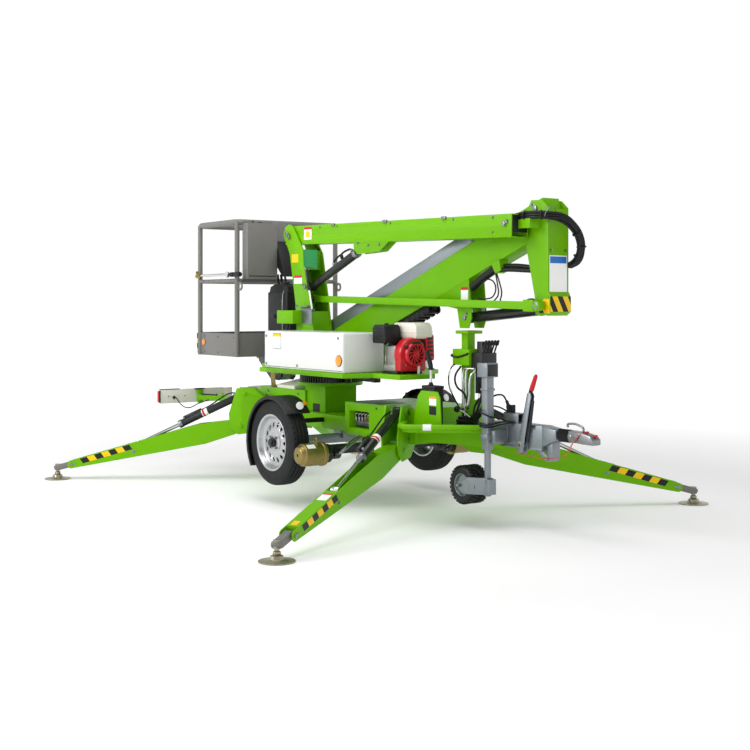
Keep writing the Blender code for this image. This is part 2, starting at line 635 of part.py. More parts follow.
# Lower boom: a square tube, open at the front, with the lift bracket below
def boom1(u, v):
    way = (Vector(K1) - Vector(P1)).normalized()
    up = Vector((-way.y, way.x))
    return tuple(Vector(P1) + way * u + up * v)


BOOM1_LEN = (Vector(K1) - Vector(P1)).length
low1, high1 = -BOOM1_H / 2 - 0.010, BOOM1_H / 2 - 0.010
tail = -0.065
nose1 = BOOM1_LEN + 0.060
inner1 = ((0.05, low1 + BOOM1_T), (nose1 + 0.1, high1 - BOOM1_T))
LUG1 = ((0.24, 1.80), (0.25, 1.72), (0.30, 1.69), (0.55, 1.70), (0.70, 1.79))


def boom1_block(u0, u1, v0, v1, y0, y1):
    return prism([boom1(u0, v0), boom1(u1, v0), boom1(u1, v1), boom1(u0, v1)], y0, y1)


part("boom_lower", "green", at(P1, sum(BOOM1_Y) / 2), [
    boom1_block(tail, nose1, low1, high1, *BOOM1_Y),
    prism(LUG1, BOOM1_Y[0] + 0.001, BOOM1_Y[0] + BOOM1_T + 0.001),
    prism(LUG1, -0.136, -0.130),
], [
    bore(at(P1, -0.3), at(P1, 0.1), 0.020),
    boom1_block(0.05, nose1 + 0.1, low1 + BOOM1_T, high1 - BOOM1_T,
                BOOM1_Y[0] + BOOM1_T, BOOM1_Y[1] - BOOM1_T),
    boom1_block(BOOM1_LEN - 0.08, nose1 + 0.1, low1 - 0.02, low1 + 0.02, -0.155, -0.105),
    boom1_block(0.72, 1.12, low1 - 0.02, low1 + 0.02, BOOM1_Y[0] + BOOM1_T + 0.002, -0.137),
], last=[rod(at(K1, BOOM1_Y[0] - 0.004), at(K1, BOOM1_Y[1] + 0.002), 0.014)])

part("tie_bar", "green", at(T1, TIE_Y), [
    prism(strip(T1, T2, TIE_H / 2), TIE_Y - TIE_W / 2, TIE_Y + TIE_W / 2),
    rod(at(T1, TIE_Y - TIE_W / 2 - 0.001), at(T1, TIE_Y + TIE_W / 2 + 0.001), 0.030),
    rod(at(T2, TIE_Y - TIE_W / 2 - 0.001), at(T2, TIE_Y + TIE_W / 2 + 0.001), 0.030),
], [
    bore(at(T1, -0.2), at(T1, 0.0), 0.014),
    bore(at(T2, -0.2), at(T2, 0.0), 0.0125),
])
cylinder_pair("lift_lower", B1, R1, LIFT1_Y, LIFT1_R, LIFT1_ROD, span(B1, R1) - EYE_ROOM,
              0.014, 0.042)

# Knuckle: two side plates and a front plate, with the lug that the lower boom holds
KN = (
    (1.885, 1.83), (1.83, 1.69), (1.905, 1.39), (1.910, 1.29), (1.975, 1.285),
    (2.017, 1.33), (2.017, 1.905), (1.965, 1.95), (1.875, 1.955), (1.840, 1.90),
)
LUG_Y = (-0.145, -0.115)
part("knuckle", "green", at(K1, 0.02), [
    prism(KN, KN_Y[0], KN_Y[0] + KN_T),
    prism(KN, KN_Y[1] - KN_T, KN_Y[1]),
    box(2.008, 2.016, KN_Y[0] + 0.004, KN_Y[1] - 0.004, 1.40, 1.90),
    prism([(2.007, 1.42), (2.019, 1.42), (2.034, 1.395), (2.036, 1.305), (2.004, 1.283),
           (1.999, 1.291), (2.026, 1.312), (2.022, 1.39)], KN_Y[0] - 0.001, KN_Y[1] + 0.001),
    rod(at(P2, KN_Y[0] + 0.002), at(P2, KN_Y[1] + 0.006), 0.022, 14),
    rod(at(T2, TIE_Y - TIE_W / 2 - 0.006), at(T2, KN_Y[0] + 0.002), 0.012),
    rod(at(K1, LUG_Y[0] - 0.001), at(K1, LUG_Y[1] + 0.001), 0.032),
    prism([(1.80, 1.786), (1.91, 1.79), (1.91, 1.842), (1.80, 1.846)], *LUG_Y),
    box(1.905, 1.955, LUG_Y[0], KN_Y[0] + 0.004, 1.788, 1.844),
], [bore(at(K1, -0.3), at(K1, 0.1), 0.014)])


# Upper boom: u runs from its pin to the basket, v across
def boom2(u, v):
    return (P2[0] - math.cos(SLOPE) * u - math.sin(SLOPE) * v,
            P2[1] - math.sin(SLOPE) * u + math.cos(SLOPE) * v)


def boom2_block(u0, u1, v0, v1, y0, y1):
    return prism([boom2(u0, v0), boom2(u1, v0), boom2(u1, v1), boom2(u0, v1)], y0, y1)


v_low, v_top = BOOM2_V
L2_U = math.cos(SLOPE) * (P2[0] - L2[0]) + math.sin(SLOPE) * (P2[1] - L2[1])
L2_V = math.sin(SLOPE) * (P2[0] - L2[0]) - math.cos(SLOPE) * (P2[1] - L2[1])
LUG_ROOT = v_low + 0.021
LUG2 = [boom2(*p) for p in (
    (L2_U + 0.340, LUG_ROOT), (L2_U + 0.052, L2_V + 0.078), (L2_U + 0.069, L2_V - 0.044),
    (L2_U - 0.010, L2_V - 0.073), (L2_U - 0.060, L2_V - 0.020), (L2_U - 0.124, LUG_ROOT),
)]
middle2 = sum(BOOM2_Y) / 2
part("boom_upper", "green", at(P2, middle2), [
    prism([boom2(-0.06, v_top), boom2(-0.06, -0.03), boom2(0.06, v_low),
           boom2(BOOM2_TIP, v_low), boom2(BOOM2_TIP, v_top)], *BOOM2_Y),
    prism(LUG2, BOOM2_Y[0] + 0.001, BOOM2_Y[0] + 0.009),
    prism(LUG2, BOOM2_Y[1] - 0.009, BOOM2_Y[1] - 0.001),
    rod(at(L2, BOOM2_Y[0] + 0.004), at(L2, BOOM2_Y[1] - 0.004), 0.016),
], [
    bore(at(P2, -0.2), at(P2, 0.2), 0.022),
    boom2_block(0.20, BOOM2_TIP + 0.1, v_low + BOOM2_T, v_top - BOOM2_T,
                BOOM2_Y[0] + BOOM2_T, BOOM2_Y[1] - BOOM2_T),
])
TRAY_H = 0.080
part("cable_tray", "zinc", at(boom2(1.4, v_top), middle2), [
    boom2_block(0.62, BOOM2_TIP, v_top + SEAT, v_top + TRAY_H, BOOM2_Y[0] + 0.001,
                BOOM2_Y[1] - 0.001),
], [
    boom2_block(0.60, BOOM2_TIP + 0.1, v_top + 0.003, v_top + TRAY_H + 0.1,
                BOOM2_Y[0] + 0.004, BOOM2_Y[1] - 0.004),
])
CHAIN_U, LINKS, CHAIN_H = (1.18, 2.10), 16, 0.055
pitch = (CHAIN_U[1] - CHAIN_U[0]) / LINKS
chain = []
for k in range(LINKS):
    u = CHAIN_U[0] + k * pitch
    for share, depth in ((0.02, 0.80), (0.14, 1.0), (0.86, 1.0), (0.98, 0.80)):
        chain.append(boom2(u + share * pitch, v_low - SEAT - depth * CHAIN_H))
chain += [boom2(CHAIN_U[1], v_low - SEAT), boom2(CHAIN_U[0], v_low - SEAT)]
part("hose_carrier", "black", at(boom2(1.5, v_low), middle2), [
    prism(chain, BOOM2_Y[0] + 0.015, BOOM2_Y[1] - 0.015),
])
cylinder_pair("lift_upper", L2, KB, middle2, LIFT2_R, LIFT2_ROD, span(L2, KB) - EYE_ROOM,
              0.016, 0.050)

# Fly and basket
fly_y = (middle2 - FLY_W / 2, middle2 + FLY_W / 2)
FLY_PIN = boom2(FLY_PIN_U, FLY_PIN_V)
part("boom_fly", "grey", at(FLY_PIN, middle2), [
    boom2_block(FLY_FROM, FLY_TO, *FLY_V, *fly_y),
], [bore(at(FLY_PIN, -0.2), at(FLY_PIN, 0.2), 0.016)])
x_rear, x_front = BK_X
y_right, y_left = BK_Y
ARM = ((-0.965, 0.790), (-0.965, 0.865), (-1.05, BK_LOW - 0.001), (-1.33, BK_LOW - 0.001),
       (-1.30, 0.90), (-1.12, 0.768), (-1.0, 0.763))
arm_y = (fly_y[0] - SIDE_PLAY, fly_y[1] + SIDE_PLAY)
part("basket_bracket", "black", at(FLY_PIN, middle2), [
    prism(ARM, arm_y[0] - 0.010, arm_y[0]),
    prism(ARM, arm_y[1], arm_y[1] + 0.010),
    box(-1.34, -1.06, arm_y[0] - 0.012, arm_y[1] + 0.012, 0.925, BK_LOW - SEAT),
    rod(at(FLY_PIN, arm_y[0] - 0.014), at(FLY_PIN, arm_y[1] + 0.014), 0.016),
])
basket = [box(x_rear, x_front, y_right, y_left, BK_LOW, BK_LOW + 0.010)]
for x0, x1, y0, y1 in (
    (x_rear - 0.003, x_rear + 0.003, y_right, y_left),
    (x_front - 0.003, x_front + 0.003, y_right, y_left),
    (x_rear, x_front, y_right - 0.003, y_right + 0.003),
    (x_rear, x_front, y_left - 0.003, y_left + 0.003),
):
    basket.append(box(x0, x1, y0, y1, BK_LOW + 0.001, BK_TOE))
for x in BK_X:
    for y in BK_Y:
        basket.append(rod((x, y, BK_LOW + 0.002), (x, y, BK_TOP), RAIL_R, 10))
for z in (BK_MID, BK_TOP - RAIL_R):
    for x in BK_X:
        basket.append(rod((x, y_right - 0.003, z), (x, y_left + 0.003, z), RAIL_R - 0.0015, 12))
    for y in BK_Y:
        basket.append(rod((x_rear - 0.005, y, z), (x_front + 0.005, y, z), RAIL_R - 0.003, 10))
for y0 in (-0.30, 0.40):
    basket.append(box(x_rear + 0.03, x_front - 0.03, y0, y0 + 0.04, BK_LOW + 0.004,
                      BK_LOW + 0.018))
for x in (x_rear + 0.06, x_front - 0.06):
    basket.append(rod((x, y_right - 0.036, 1.575), (x, y_right, 1.545), 0.008, 12))
part("basket_frame", "grey", (x_front, 0.045, BK_LOW), basket)
rail_face = x_front + RAIL_R - 0.0015 + SEAT
CONSOLE_D, CONSOLE_Y, CONTROL_Y, CONTROL_Z = 0.0822, -0.365, -0.105, 1.83
part("basket_console", "grey", (rail_face, -0.23, 1.75), [
    box(rail_face, rail_face + CONSOLE_D, CONSOLE_Y, CONTROL_Y, BK_MID + 0.01, BK_TOP - 0.03),
    box(rail_face, rail_face + CONSOLE_D - 0.03, CONTROL_Y - 0.005, 0.0, CONTROL_Z, BK_TOP - 0.02),
])
part("control_cover", "black", (rail_face, -0.02, 1.7), [
    prism([(rail_face + 0.001, CONTROL_Z - 0.001), (-0.94, CONTROL_Z - 0.001), (-0.80, 1.56),
           (-0.85, 1.56), (rail_face + 0.001, 1.70)], CONTROL_Y + SEAT, 0.05),
])
GATE_Y, GATE_Z = y_right - 0.052, 1.575
part("basket_gate", "silver", (x_front - 0.06, GATE_Y, GATE_Z), [
    rod((x_rear + 0.03, GATE_Y, GATE_Z), (x_front - 0.06, GATE_Y, GATE_Z), 0.010, 14),
    rod((x_front - 0.06, GATE_Y - 0.011, GATE_Z), (x_front - 0.06, GATE_Y + 0.0105, GATE_Z),
        0.022, 20),
], [])

# Legs with their cylinders
DROP = math.asin((LEG_Z - ANKLE_Z) / ANKLE_REACH)


def leg(a, b):
    """From along and across the leg to its plan line and height over the hinge."""
    return (a * math.cos(DROP) + b * math.sin(DROP), -a * math.sin(DROP) + b * math.cos(DROP))


END_R = 0.031
OUTLINE = [(-0.036, -0.030), (0.0, -0.048), (0.30, -0.075)]
for k in range(5):
    a = math.radians(-80 + 40 * k)
    OUTLINE.append((ANKLE_PIN + END_R * math.cos(a), END_R * math.sin(a)))
OUTLINE += [(0.32, 0.085), (0.0, 0.048), (-0.036, 0.030)]
POCKET = ((0.205, 0.20), (0.235, 0.03), (0.50, -0.050), (0.840, -0.040), (0.872, 0.20))
FORK = ((ANKLE_PIN - 0.050, -0.06), (ANKLE_PIN - 0.050, 0.06), (ANKLE_PIN + 0.05, 0.06),
        (ANKLE_PIN + 0.05, -0.06))
LINK = ((ANKLE_PIN - 0.030, -0.020), (ANKLE_REACH - 0.012, -0.024), (ANKLE_REACH + 0.020, -0.012),
        (ANKLE_REACH + 0.014, 0.018), (ANKLE_PIN - 0.010, 0.024), (ANKLE_PIN - 0.030, 0.012))
half = LEG_W / 2
for name, x, y, angle in CORNERS:
    place = corner_place(x, y, angle)
    foot_s = leg(ANKLE_REACH, 0)[0]
    pin_s, pin_h = leg(ANKLE_PIN, 0)
    part("leg_" + name, "green", (x, y, LEG_Z), [
        prism([leg(*p) for p in OUTLINE], -half, half),
    ], [
        bore((0, -0.1, 0), (0, 0.1, 0), LEG_PIN_R),
        prism([leg(*p) for p in POCKET], -half + LEG_WALL, half - LEG_WALL),
        prism([leg(*p) for p in FORK], -half + LEG_WALL, half - LEG_WALL),
    ], place, last=[
        prism([leg(*p) for p in LINK], -ANKLE_W / 2, ANKLE_W / 2),
        rod((pin_s, -half - 0.002, pin_h), (pin_s, half + 0.002, pin_h), 0.009, 8),
        rod((foot_s, 0, -LEG_Z + 0.010), (foot_s, 0, -LEG_Z + 0.118), 0.016, 10),
        rod((foot_s, 0, -LEG_Z), (foot_s, 0, -LEG_Z + 0.012), PAD_R, 28),
        rod((foot_s, 0, -LEG_Z + 0.010), (foot_s, 0, -LEG_Z + 0.035), 0.040, 12),
    ])
    cylinder_pair("ram_" + name, RAM_TOP, leg(*RAM_EYE), 0.0, RAM_R, RAM_ROD_R,
                  RAM_BARREL, LEG_PIN_R, 0.046, place, stem=0.30)
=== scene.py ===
# %% [markdown]
# # A towable boom lift
# The machine is a trailer that lifts a person in a basket. It stands on four box legs beside its road
# wheels, and a green tower on a slewing ring carries two folded booms. The frame that is loaded here
# holds every structural piece at its true size. This lesson gives each of them its real edges and its
# finish, and adds what a stranger would look for: hoses, bolts, levers, tread, lamps and stripes.

# %% Load the frame
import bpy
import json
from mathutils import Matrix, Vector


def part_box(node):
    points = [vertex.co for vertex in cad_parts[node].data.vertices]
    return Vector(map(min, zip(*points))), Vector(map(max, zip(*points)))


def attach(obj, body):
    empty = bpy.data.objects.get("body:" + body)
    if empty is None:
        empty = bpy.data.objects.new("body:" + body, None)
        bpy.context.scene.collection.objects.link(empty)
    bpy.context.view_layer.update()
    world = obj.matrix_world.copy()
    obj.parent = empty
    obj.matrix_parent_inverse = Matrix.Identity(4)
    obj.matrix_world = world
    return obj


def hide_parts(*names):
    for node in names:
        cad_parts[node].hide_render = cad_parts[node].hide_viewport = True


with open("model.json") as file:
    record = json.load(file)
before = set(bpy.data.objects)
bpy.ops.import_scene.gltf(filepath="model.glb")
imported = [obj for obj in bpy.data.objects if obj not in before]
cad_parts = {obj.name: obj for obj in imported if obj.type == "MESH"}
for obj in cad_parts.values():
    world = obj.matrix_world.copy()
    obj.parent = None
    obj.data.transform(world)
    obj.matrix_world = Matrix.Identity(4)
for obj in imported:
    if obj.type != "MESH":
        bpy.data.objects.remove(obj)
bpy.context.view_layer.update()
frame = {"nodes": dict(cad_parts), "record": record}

import json
from math import asin, atan2, copysign, cos, degrees, dist, pi, radians, sin, tau

import bpy
from mathutils import Matrix, Vector

nodes = frame["nodes"]

# %% [markdown]
# Everything on this machine was drawn from its axle, so lengths along the trailer are counted from
# there. The frame says where the axle is: in the middle of the right rim.

# %% Places counted from the axle
rim_low, rim_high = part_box("rim_right")
AXLE_X = (rim_low.x + rim_high.x) / 2
WHEEL_Z = (rim_low.z + rim_high.z) / 2


def at(x, y, z):
    return Vector((x + AXLE_X, y, z))


print("axle at x", round(AXLE_X, 4), "height", round(WHEEL_Z, 3))

# %% [markdown]
# Two small habits keep bpy.ops safe. The first deselects all and picks one object, because an operator
# works on all that is selected. The second applies an object's place to its mesh, so that every
# finished piece sits at the origin and patterns on Object coordinates stay still.

# %% Picking and settling objects
def pick(obj):
    bpy.ops.object.select_all(action="DESELECT")
    obj.select_set(True)
    bpy.context.view_layer.objects.active = obj
    return obj


def named(obj, name):
    obj.name = name
    obj.data.name = name
    return obj


def settle(obj, name):
    pick(obj)
    bpy.ops.object.transform_apply(location=True, rotation=True, scale=True)
    return named(obj, name)


def edit_all(obj):
    """Opens a mesh in edit mode with everything in it selected."""
    pick(obj)
    bpy.ops.object.mode_set(mode="EDIT")
    bpy.ops.mesh.select_all(action="SELECT")


def apply_all(obj):
    pick(obj)
    for modifier in list(obj.modifiers):
        bpy.ops.object.modifier_apply(modifier=modifier.name)
    return obj


def soften(obj, width, segments=2, angle=35):
    """Rounds the edges that are sharper than the angle, and shades the piece smooth."""
    if width > 0:
        bevel = obj.modifiers.new("soft_edges", "BEVEL")
        bevel.width = width
        bevel.segments = segments
        bevel.limit_method = "ANGLE"
        bevel.angle_limit = radians(angle)
        bevel.harden_normals = False
        apply_all(obj)
    pick(obj)
    bpy.ops.object.shade_smooth_by_angle(angle=radians(40))
    return obj


def merge(name, parts):
    """Joins several pieces of one finish into one object."""
    pick(parts[0])
    for part in parts[1:]:
        part.select_set(True)
    bpy.ops.object.join()
    return named(parts[0], name)


# %% [markdown]
# Sheet and bar work is nearly all blocks, discs, cut plates and bent tubes. Each helper starts from a
# primitive at its size and place and works on it in edit mode or with a modifier that is applied.

# %% Blocks and discs
def block(name, low, high, soft=0.003, segments=2):
    """A softened box between two corners counted from the axle."""
    low, high = at(*low), at(*high)
    bpy.ops.mesh.primitive_cube_add(size=1.0, location=(low + high) / 2)
    obj = bpy.context.object
    obj.scale = high - low
    settle(obj, name)
    return soften(obj, soft, segments)


def disc(name, start, end, radius, soft=0.002, sides=24, taper=1.0):
    """A round bar, pin, can or cone between two points counted from the axle."""
    start, end = at(*start), at(*end)
    way = end - start
    bpy.ops.mesh.primitive_cone_add(vertices=sides, radius1=radius, radius2=radius * taper,
        depth=way.length, location=(start + end) / 2, rotation=way.to_track_quat("Z", "Y").to_euler())
    return soften(settle(bpy.context.object, name), soft, 2, 50)


def cut_plate(name, outline, thickness, place, soft=0.0015):
    """A plate cut to an outline. place turns (u, v, depth) into a point in the frame."""
    bpy.ops.mesh.primitive_circle_add(vertices=len(outline), radius=1.0, fill_type="NGON")
    obj = bpy.context.object
    for vertex, (u, v) in zip(obj.data.vertices, outline):
        vertex.co = place(u, v, 0.0)
    edit_all(obj)
    out = Vector(place(0, 0, thickness)) - Vector(place(0, 0, 0))
    bpy.ops.mesh.extrude_region_move(TRANSFORM_OT_translate={"value": out})
    bpy.ops.mesh.select_all(action="SELECT")
    bpy.ops.mesh.normals_make_consistent(inside=False)
    bpy.ops.object.mode_set(mode="OBJECT")
    return soften(named(obj, name), soft, 2)


def side_plate(name, outline, y0, y1, soft=0.0015):
    """A plate whose outline lies in X and Z, from y0 to y1."""
    return cut_plate(name, outline, y1 - y0, lambda u, v, d: at(u, y0 + d, v), soft)


# %% [markdown]
# Turned pieces come from a profile that is spun about its axis, as on a lathe. Hoses and bent tubes
# are paths with a round section, turned into meshes.

# %% Turned pieces, hoses and tubes
def turned(name, profile, centre, axis="Y", steps=48, angle=35):
    """Spins a closed profile of (radius, along) about an axis through centre."""
    bpy.ops.mesh.primitive_circle_add(vertices=len(profile), radius=1.0, fill_type="NOTHING")
    obj = bpy.context.object
    for vertex, (radius, along) in zip(obj.data.vertices, profile):
        vertex.co = (radius, 0.0, along)
    edit_all(obj)
    bpy.ops.mesh.spin(steps=steps, angle=tau, center=(0, 0, 0), axis=(0, 0, 1))
    bpy.ops.mesh.select_all(action="SELECT")
    bpy.ops.mesh.remove_doubles(threshold=0.00005)
    bpy.ops.mesh.normals_make_consistent(inside=False)
    bpy.ops.object.mode_set(mode="OBJECT")
    turn = {"X": Matrix.Rotation(pi / 2, 4, "Y"), "Y": Matrix.Rotation(-pi / 2, 4, "X")}
    obj.data.transform(Matrix.Translation(at(*centre)) @ turn.get(axis, Matrix.Identity(4)))
    pick(named(obj, name))
    bpy.ops.object.shade_smooth_by_angle(angle=radians(angle))
    return obj


def hose(name, points, radius, curved=True, sides=3):
    """A hose, cable or bent tube through points counted from the axle."""
    bpy.ops.curve.primitive_bezier_curve_add()
    obj = bpy.context.object
    obj.data.splines.clear()
    if curved:
        spline = obj.data.splines.new("BEZIER")
        spline.bezier_points.add(len(points) - 1)
        for knot, point in zip(spline.bezier_points, points):
            knot.co = at(*point)
            knot.handle_left_type = "AUTO"
            knot.handle_right_type = "AUTO"
    else:
        spline = obj.data.splines.new("POLY")
        spline.points.add(len(points) - 1)
        for knot, point in zip(spline.points, points):
            knot.co = (*at(*point), 1.0)
    obj.data.dimensions = "3D"
    obj.data.resolution_u = 8
    obj.data.bevel_depth = radius
    obj.data.bevel_resolution = sides
    obj.data.use_fill_caps = True
    obj.location = (0, 0, 0)
    pick(obj)
    bpy.ops.object.convert(target="MESH")
    settle(obj, name)
    bpy.ops.object.shade_smooth_by_angle(angle=radians(50))
    return obj


# %% [markdown]
# A hexagon bolt is modelled once: a washer with a head extruded from it and its corners chamfered.
# Every bolt on the machine is a copy of that one mesh, turned to its face and scaled to its size.

# %% The bolt that is copied everywhere
def make_bolt():
    bpy.ops.mesh.primitive_cylinder_add(vertices=18, radius=0.95, depth=0.16, location=(0, 0, 0.08))
    washer = settle(bpy.context.object, "washer")
    bpy.ops.mesh.primitive_cylinder_add(vertices=6, radius=0.8, depth=0.62, location=(0, 0, 0.46))
    head = soften(settle(bpy.context.object, "head"), 0.07, 1)
    return merge("bolt_pattern", [washer, head])


BOLT = make_bolt()


def bolts(name, places, direction, size):
    """Bolts of one size at places counted from the axle, joined as one object."""
    turn = Vector(direction).to_track_quat("Z", "Y").to_matrix().to_4x4()
    copies = []
    for place in places:
        copy = BOLT.copy()
        copy.data = BOLT.data.copy()
        bpy.context.collection.objects.link(copy)
        copy.data.transform(Matrix.Translation(at(*place)) @ turn @ Matrix.Scale(size, 4))
        copies.append(copy)
    return merge(name, copies)


# %% [markdown]
# Materials come next. Colours are written as the sRGB hex values that a paint card would give, and
# one function turns them into the linear values that the shader works in. Another adds a node.

# %% Colour and node helpers
def linear(hex_code):
    values = [int(hex_code[i:i + 2], 16) / 255 for i in (0, 2, 4)]
    return [v / 12.92 if v <= 0.04045 else ((v + 0.055) / 1.055) ** 2.4 for v in values] + [1.0]


def node(tree, kind, inputs=(), **settings):
    """Adds a node, sets its properties and fills or links its inputs."""
    made = tree.nodes.new(kind)
    for key, value in settings.items():
        setattr(made, key, value)
    for key, value in dict(inputs).items():
        if isinstance(value, bpy.types.NodeSocket):
            tree.links.new(value, made.inputs[key])
        else:
            made.inputs[key].default_value = value
    return made


MM = 0.001


def finish_of(name, colour, roughness, metallic=0.0, coat=0.0, grain=2 * MM, bump=0.0,
              blotch=60 * MM, shade=0.06, rough_play=0.08, shine=0.3):
    """A paint, metal or plastic with uneven shade and gloss, and a fine surface grain.

    grain and blotch are real sizes; shade is how far the colour strays from its mean.
    """
    material = bpy.data.materials.new(name)
    material.use_nodes = True
    tree = material.node_tree
    shader = tree.nodes["Principled BSDF"]
    shader.inputs["Metallic"].default_value = metallic
    shader.inputs["Coat Weight"].default_value = coat
    shader.inputs["Specular IOR Level"].default_value = shine
    shader.inputs["Coat Roughness"].default_value = 0.12
    place = node(tree, "ShaderNodeTexCoord").outputs["Object"]
    cloud = node(tree, "ShaderNodeTexNoise",
        {"Vector": place, "Scale": 1 / blotch, "Detail": 5.0, "Roughness": 0.6})
    base = linear(colour)
    dark = [c * (1 - 2 * shade) for c in base[:3]] + [1.0]
    light = [min(1.0, c * (1 + shade)) for c in base[:3]] + [1.0]
    ramp = node(tree, "ShaderNodeMix", {0: cloud.outputs["Fac"], 6: dark, 7: light}, data_type="RGBA")
    tree.links.new(ramp.outputs[2], shader.inputs["Base Color"])
    gloss = node(tree, "ShaderNodeMapRange", {
        "Value": cloud.outputs["Fac"], "From Min": 0.3, "From Max": 0.7,
        "To Min": max(0.03, roughness - rough_play), "To Max": min(1.0, roughness + rough_play),
    })
    tree.links.new(gloss.outputs["Result"], shader.inputs["Roughness"])
    if bump > 0:
        fine = node(tree, "ShaderNodeTexNoise", {"Vector": place, "Scale": 1 / grain, "Detail": 3.0})
        relief = node(tree, "ShaderNodeBump",
            {"Height": fine.outputs["Fac"], "Strength": 1.0, "Distance": bump})
        tree.links.new(relief.outputs["Normal"], shader.inputs["Normal"])
    return material


# %% [markdown]
# The frame is sprayed in a bright two-pack enamel. It is glossy, with the faint orange peel of a spray
# gun, so its grain is about 3 mm across and only hundredths of a millimetre deep.

# %% Paints
ENAMEL = finish_of("green_enamel", "6CB000", 0.38, coat=0.02, shine=0.12, grain=3 * MM, bump=0.05 * MM,
    blotch=90 * MM, shade=0.05)
BLACK = finish_of("black_enamel", "1B1C1D", 0.34, coat=0.2, grain=2 * MM, bump=0.04 * MM)
GREY = finish_of("grey_structure_paint", "757370", 0.45, coat=0.1, grain=1.5 * MM, bump=0.08 * MM,
    shade=0.05)
RED = finish_of("engine_red_enamel", "C00C1C", 0.32, coat=0.2, grain=3 * MM, bump=0.04 * MM)
RIM_SILVER = finish_of("rim_silver_lacquer", "B9BBBD", 0.32, metallic=0.75, coat=0.2)
STRIPE_YELLOW = finish_of("hazard_yellow_film", "F2C500", 0.38, blotch=30 * MM)
STRIPE_BLACK = finish_of("hazard_black_film", "141414", 0.38, blotch=30 * MM)
FILM_WHITE = finish_of("white_label_film", "F1F2F0", 0.35, blotch=30 * MM, shade=0.02)
FILM_BLUE = finish_of("blue_label_film", "1C6FC0", 0.35, blotch=30 * MM)
FILM_RED = finish_of("red_label_film", "C8191E", 0.35, blotch=30 * MM)
FILM_GREEN = finish_of("green_label_film", "007A38", 0.35, blotch=30 * MM)
print("paints:", len(bpy.data.materials))

# %% [markdown]
# The drawbar, axle and jack are hot-dip galvanised: dull grey zinc whose crystals show as spangles a
# centimetre across. Small fittings are plated and yellow passivated, and piston rods are hard chrome.

# %% Metals
GALVANISED = finish_of("galvanised_steel", "8D9499", 0.42, metallic=0.85, grain=1.2 * MM, bump=0.05 * MM,
    blotch=11 * MM, shade=0.13, rough_play=0.14)
PASSIVATED = finish_of("yellow_passivated_zinc", "94834E", 0.36, metallic=0.85, blotch=25 * MM, shade=0.16)
PLATED = finish_of("clear_plated_steel", "A8A28C", 0.34, metallic=0.85, blotch=25 * MM, shade=0.12)
CHROME = finish_of("hard_chrome", "D9DBDD", 0.08, metallic=1.0, blotch=50 * MM, shade=0.02, rough_play=0.03)
STEEL = finish_of("turned_steel", "8E9092", 0.34, metallic=0.9, blotch=15 * MM, shade=0.08)
CAST = finish_of("cast_aluminium", "A3A19C", 0.5, metallic=0.7, grain=1.2 * MM, bump=0.15 * MM,
    blotch=20 * MM, shade=0.1)

# %% [markdown]
# Rubber, moulded plastic and the glass fibre cover are all non-metals that differ in gloss and grain:
# tyre rubber is dull with a soft bloom, hose rubber a little shinier, the gel coat smooth and bright.

# %% Rubber and plastics
TYRE = finish_of("tyre_rubber", "1E1F20", 0.72, grain=1.5 * MM, bump=0.1 * MM, shade=0.14)
RUBBER = finish_of("hose_rubber", "121314", 0.48, grain=1.0 * MM, bump=0.05 * MM)
PLASTIC = finish_of("black_moulded_plastic", "18191A", 0.5, grain=0.8 * MM, bump=0.06 * MM)
GEL_COAT = finish_of("white_gel_coat", "DFE0DE", 0.24, coat=0.5, blotch=160 * MM, shade=0.02, grain=5 * MM,
    bump=0.03 * MM)
CREAM = finish_of("cream_plastic", "E2DFD3", 0.4, blotch=80 * MM, shade=0.03)
RED_GRIP = finish_of("red_vinyl_grip", "C5202B", 0.38, grain=1.0 * MM, bump=0.05 * MM)
AMBER = finish_of("amber_lens", "F2950A", 0.16, coat=0.6, blotch=10 * MM)
LAMP_RED = finish_of("red_lens", "C3121C", 0.14, coat=0.6, blotch=10 * MM)
LAMP_WHITE = finish_of("clear_lens", "E8E8E6", 0.14, coat=0.6, blotch=10 * MM)
print("finishes:", len(bpy.data.materials))

# %% [markdown]
# A small function hands each finished piece over: its material, the body that carries it and the solids
# that it stands for.


def hand_over(piece, material, body, *stands_for):
    piece.data.materials.clear()
    piece.data.materials.append(material)
    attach(piece, body)
    if stands_for:
        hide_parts(*stands_for)
    return piece


def joined(name, material, body, parts, *stands_for):
    """Joins parts of one finish and hands them over as one piece."""
    return hand_over(merge(name, parts), material, body, *stands_for)


def bundle(name, material, body, *routes):
    """Hoses or pipes in one piece. Each route is a radius and then its points."""
    return joined(name, material, body, [hose("line", route[1:], route[0]) for route in routes])


def bolted(name, body, places, direction, size, *stands_for):
    return hand_over(bolts(name, places, direction, size), STEEL, body, *stands_for)


def film(name, material, body, low, high):
    """A thin sheet with sharp edges, such as a notice."""
    return hand_over(block(name, low, high, 0.0), material, body)


def span(name, side, low, high, soft=0.003):
    """A block of the left side, or its mirror image on the right where side is -1."""
    y0, y1 = sorted((side * low[1], side * high[1]))
    return block(name, (low[0], y0, low[2]), (high[0], y1, high[2]), soft)


SUPER = "superstructure"
BODY_OF = {}
for body_name, members in frame["record"]["behaviour"]["bodies"].items():
    for member in members:
        BODY_OF[member] = body_name

# %% [markdown]
# The structural solids are right in shape but have knife edges, and real folded plate has none. Each
# is copied, its triangles are merged back into flat faces, and its edges are rounded by a bevel. The
# width follows the plate: 1 to 2 mm on sheet, more on castings and mouldings.

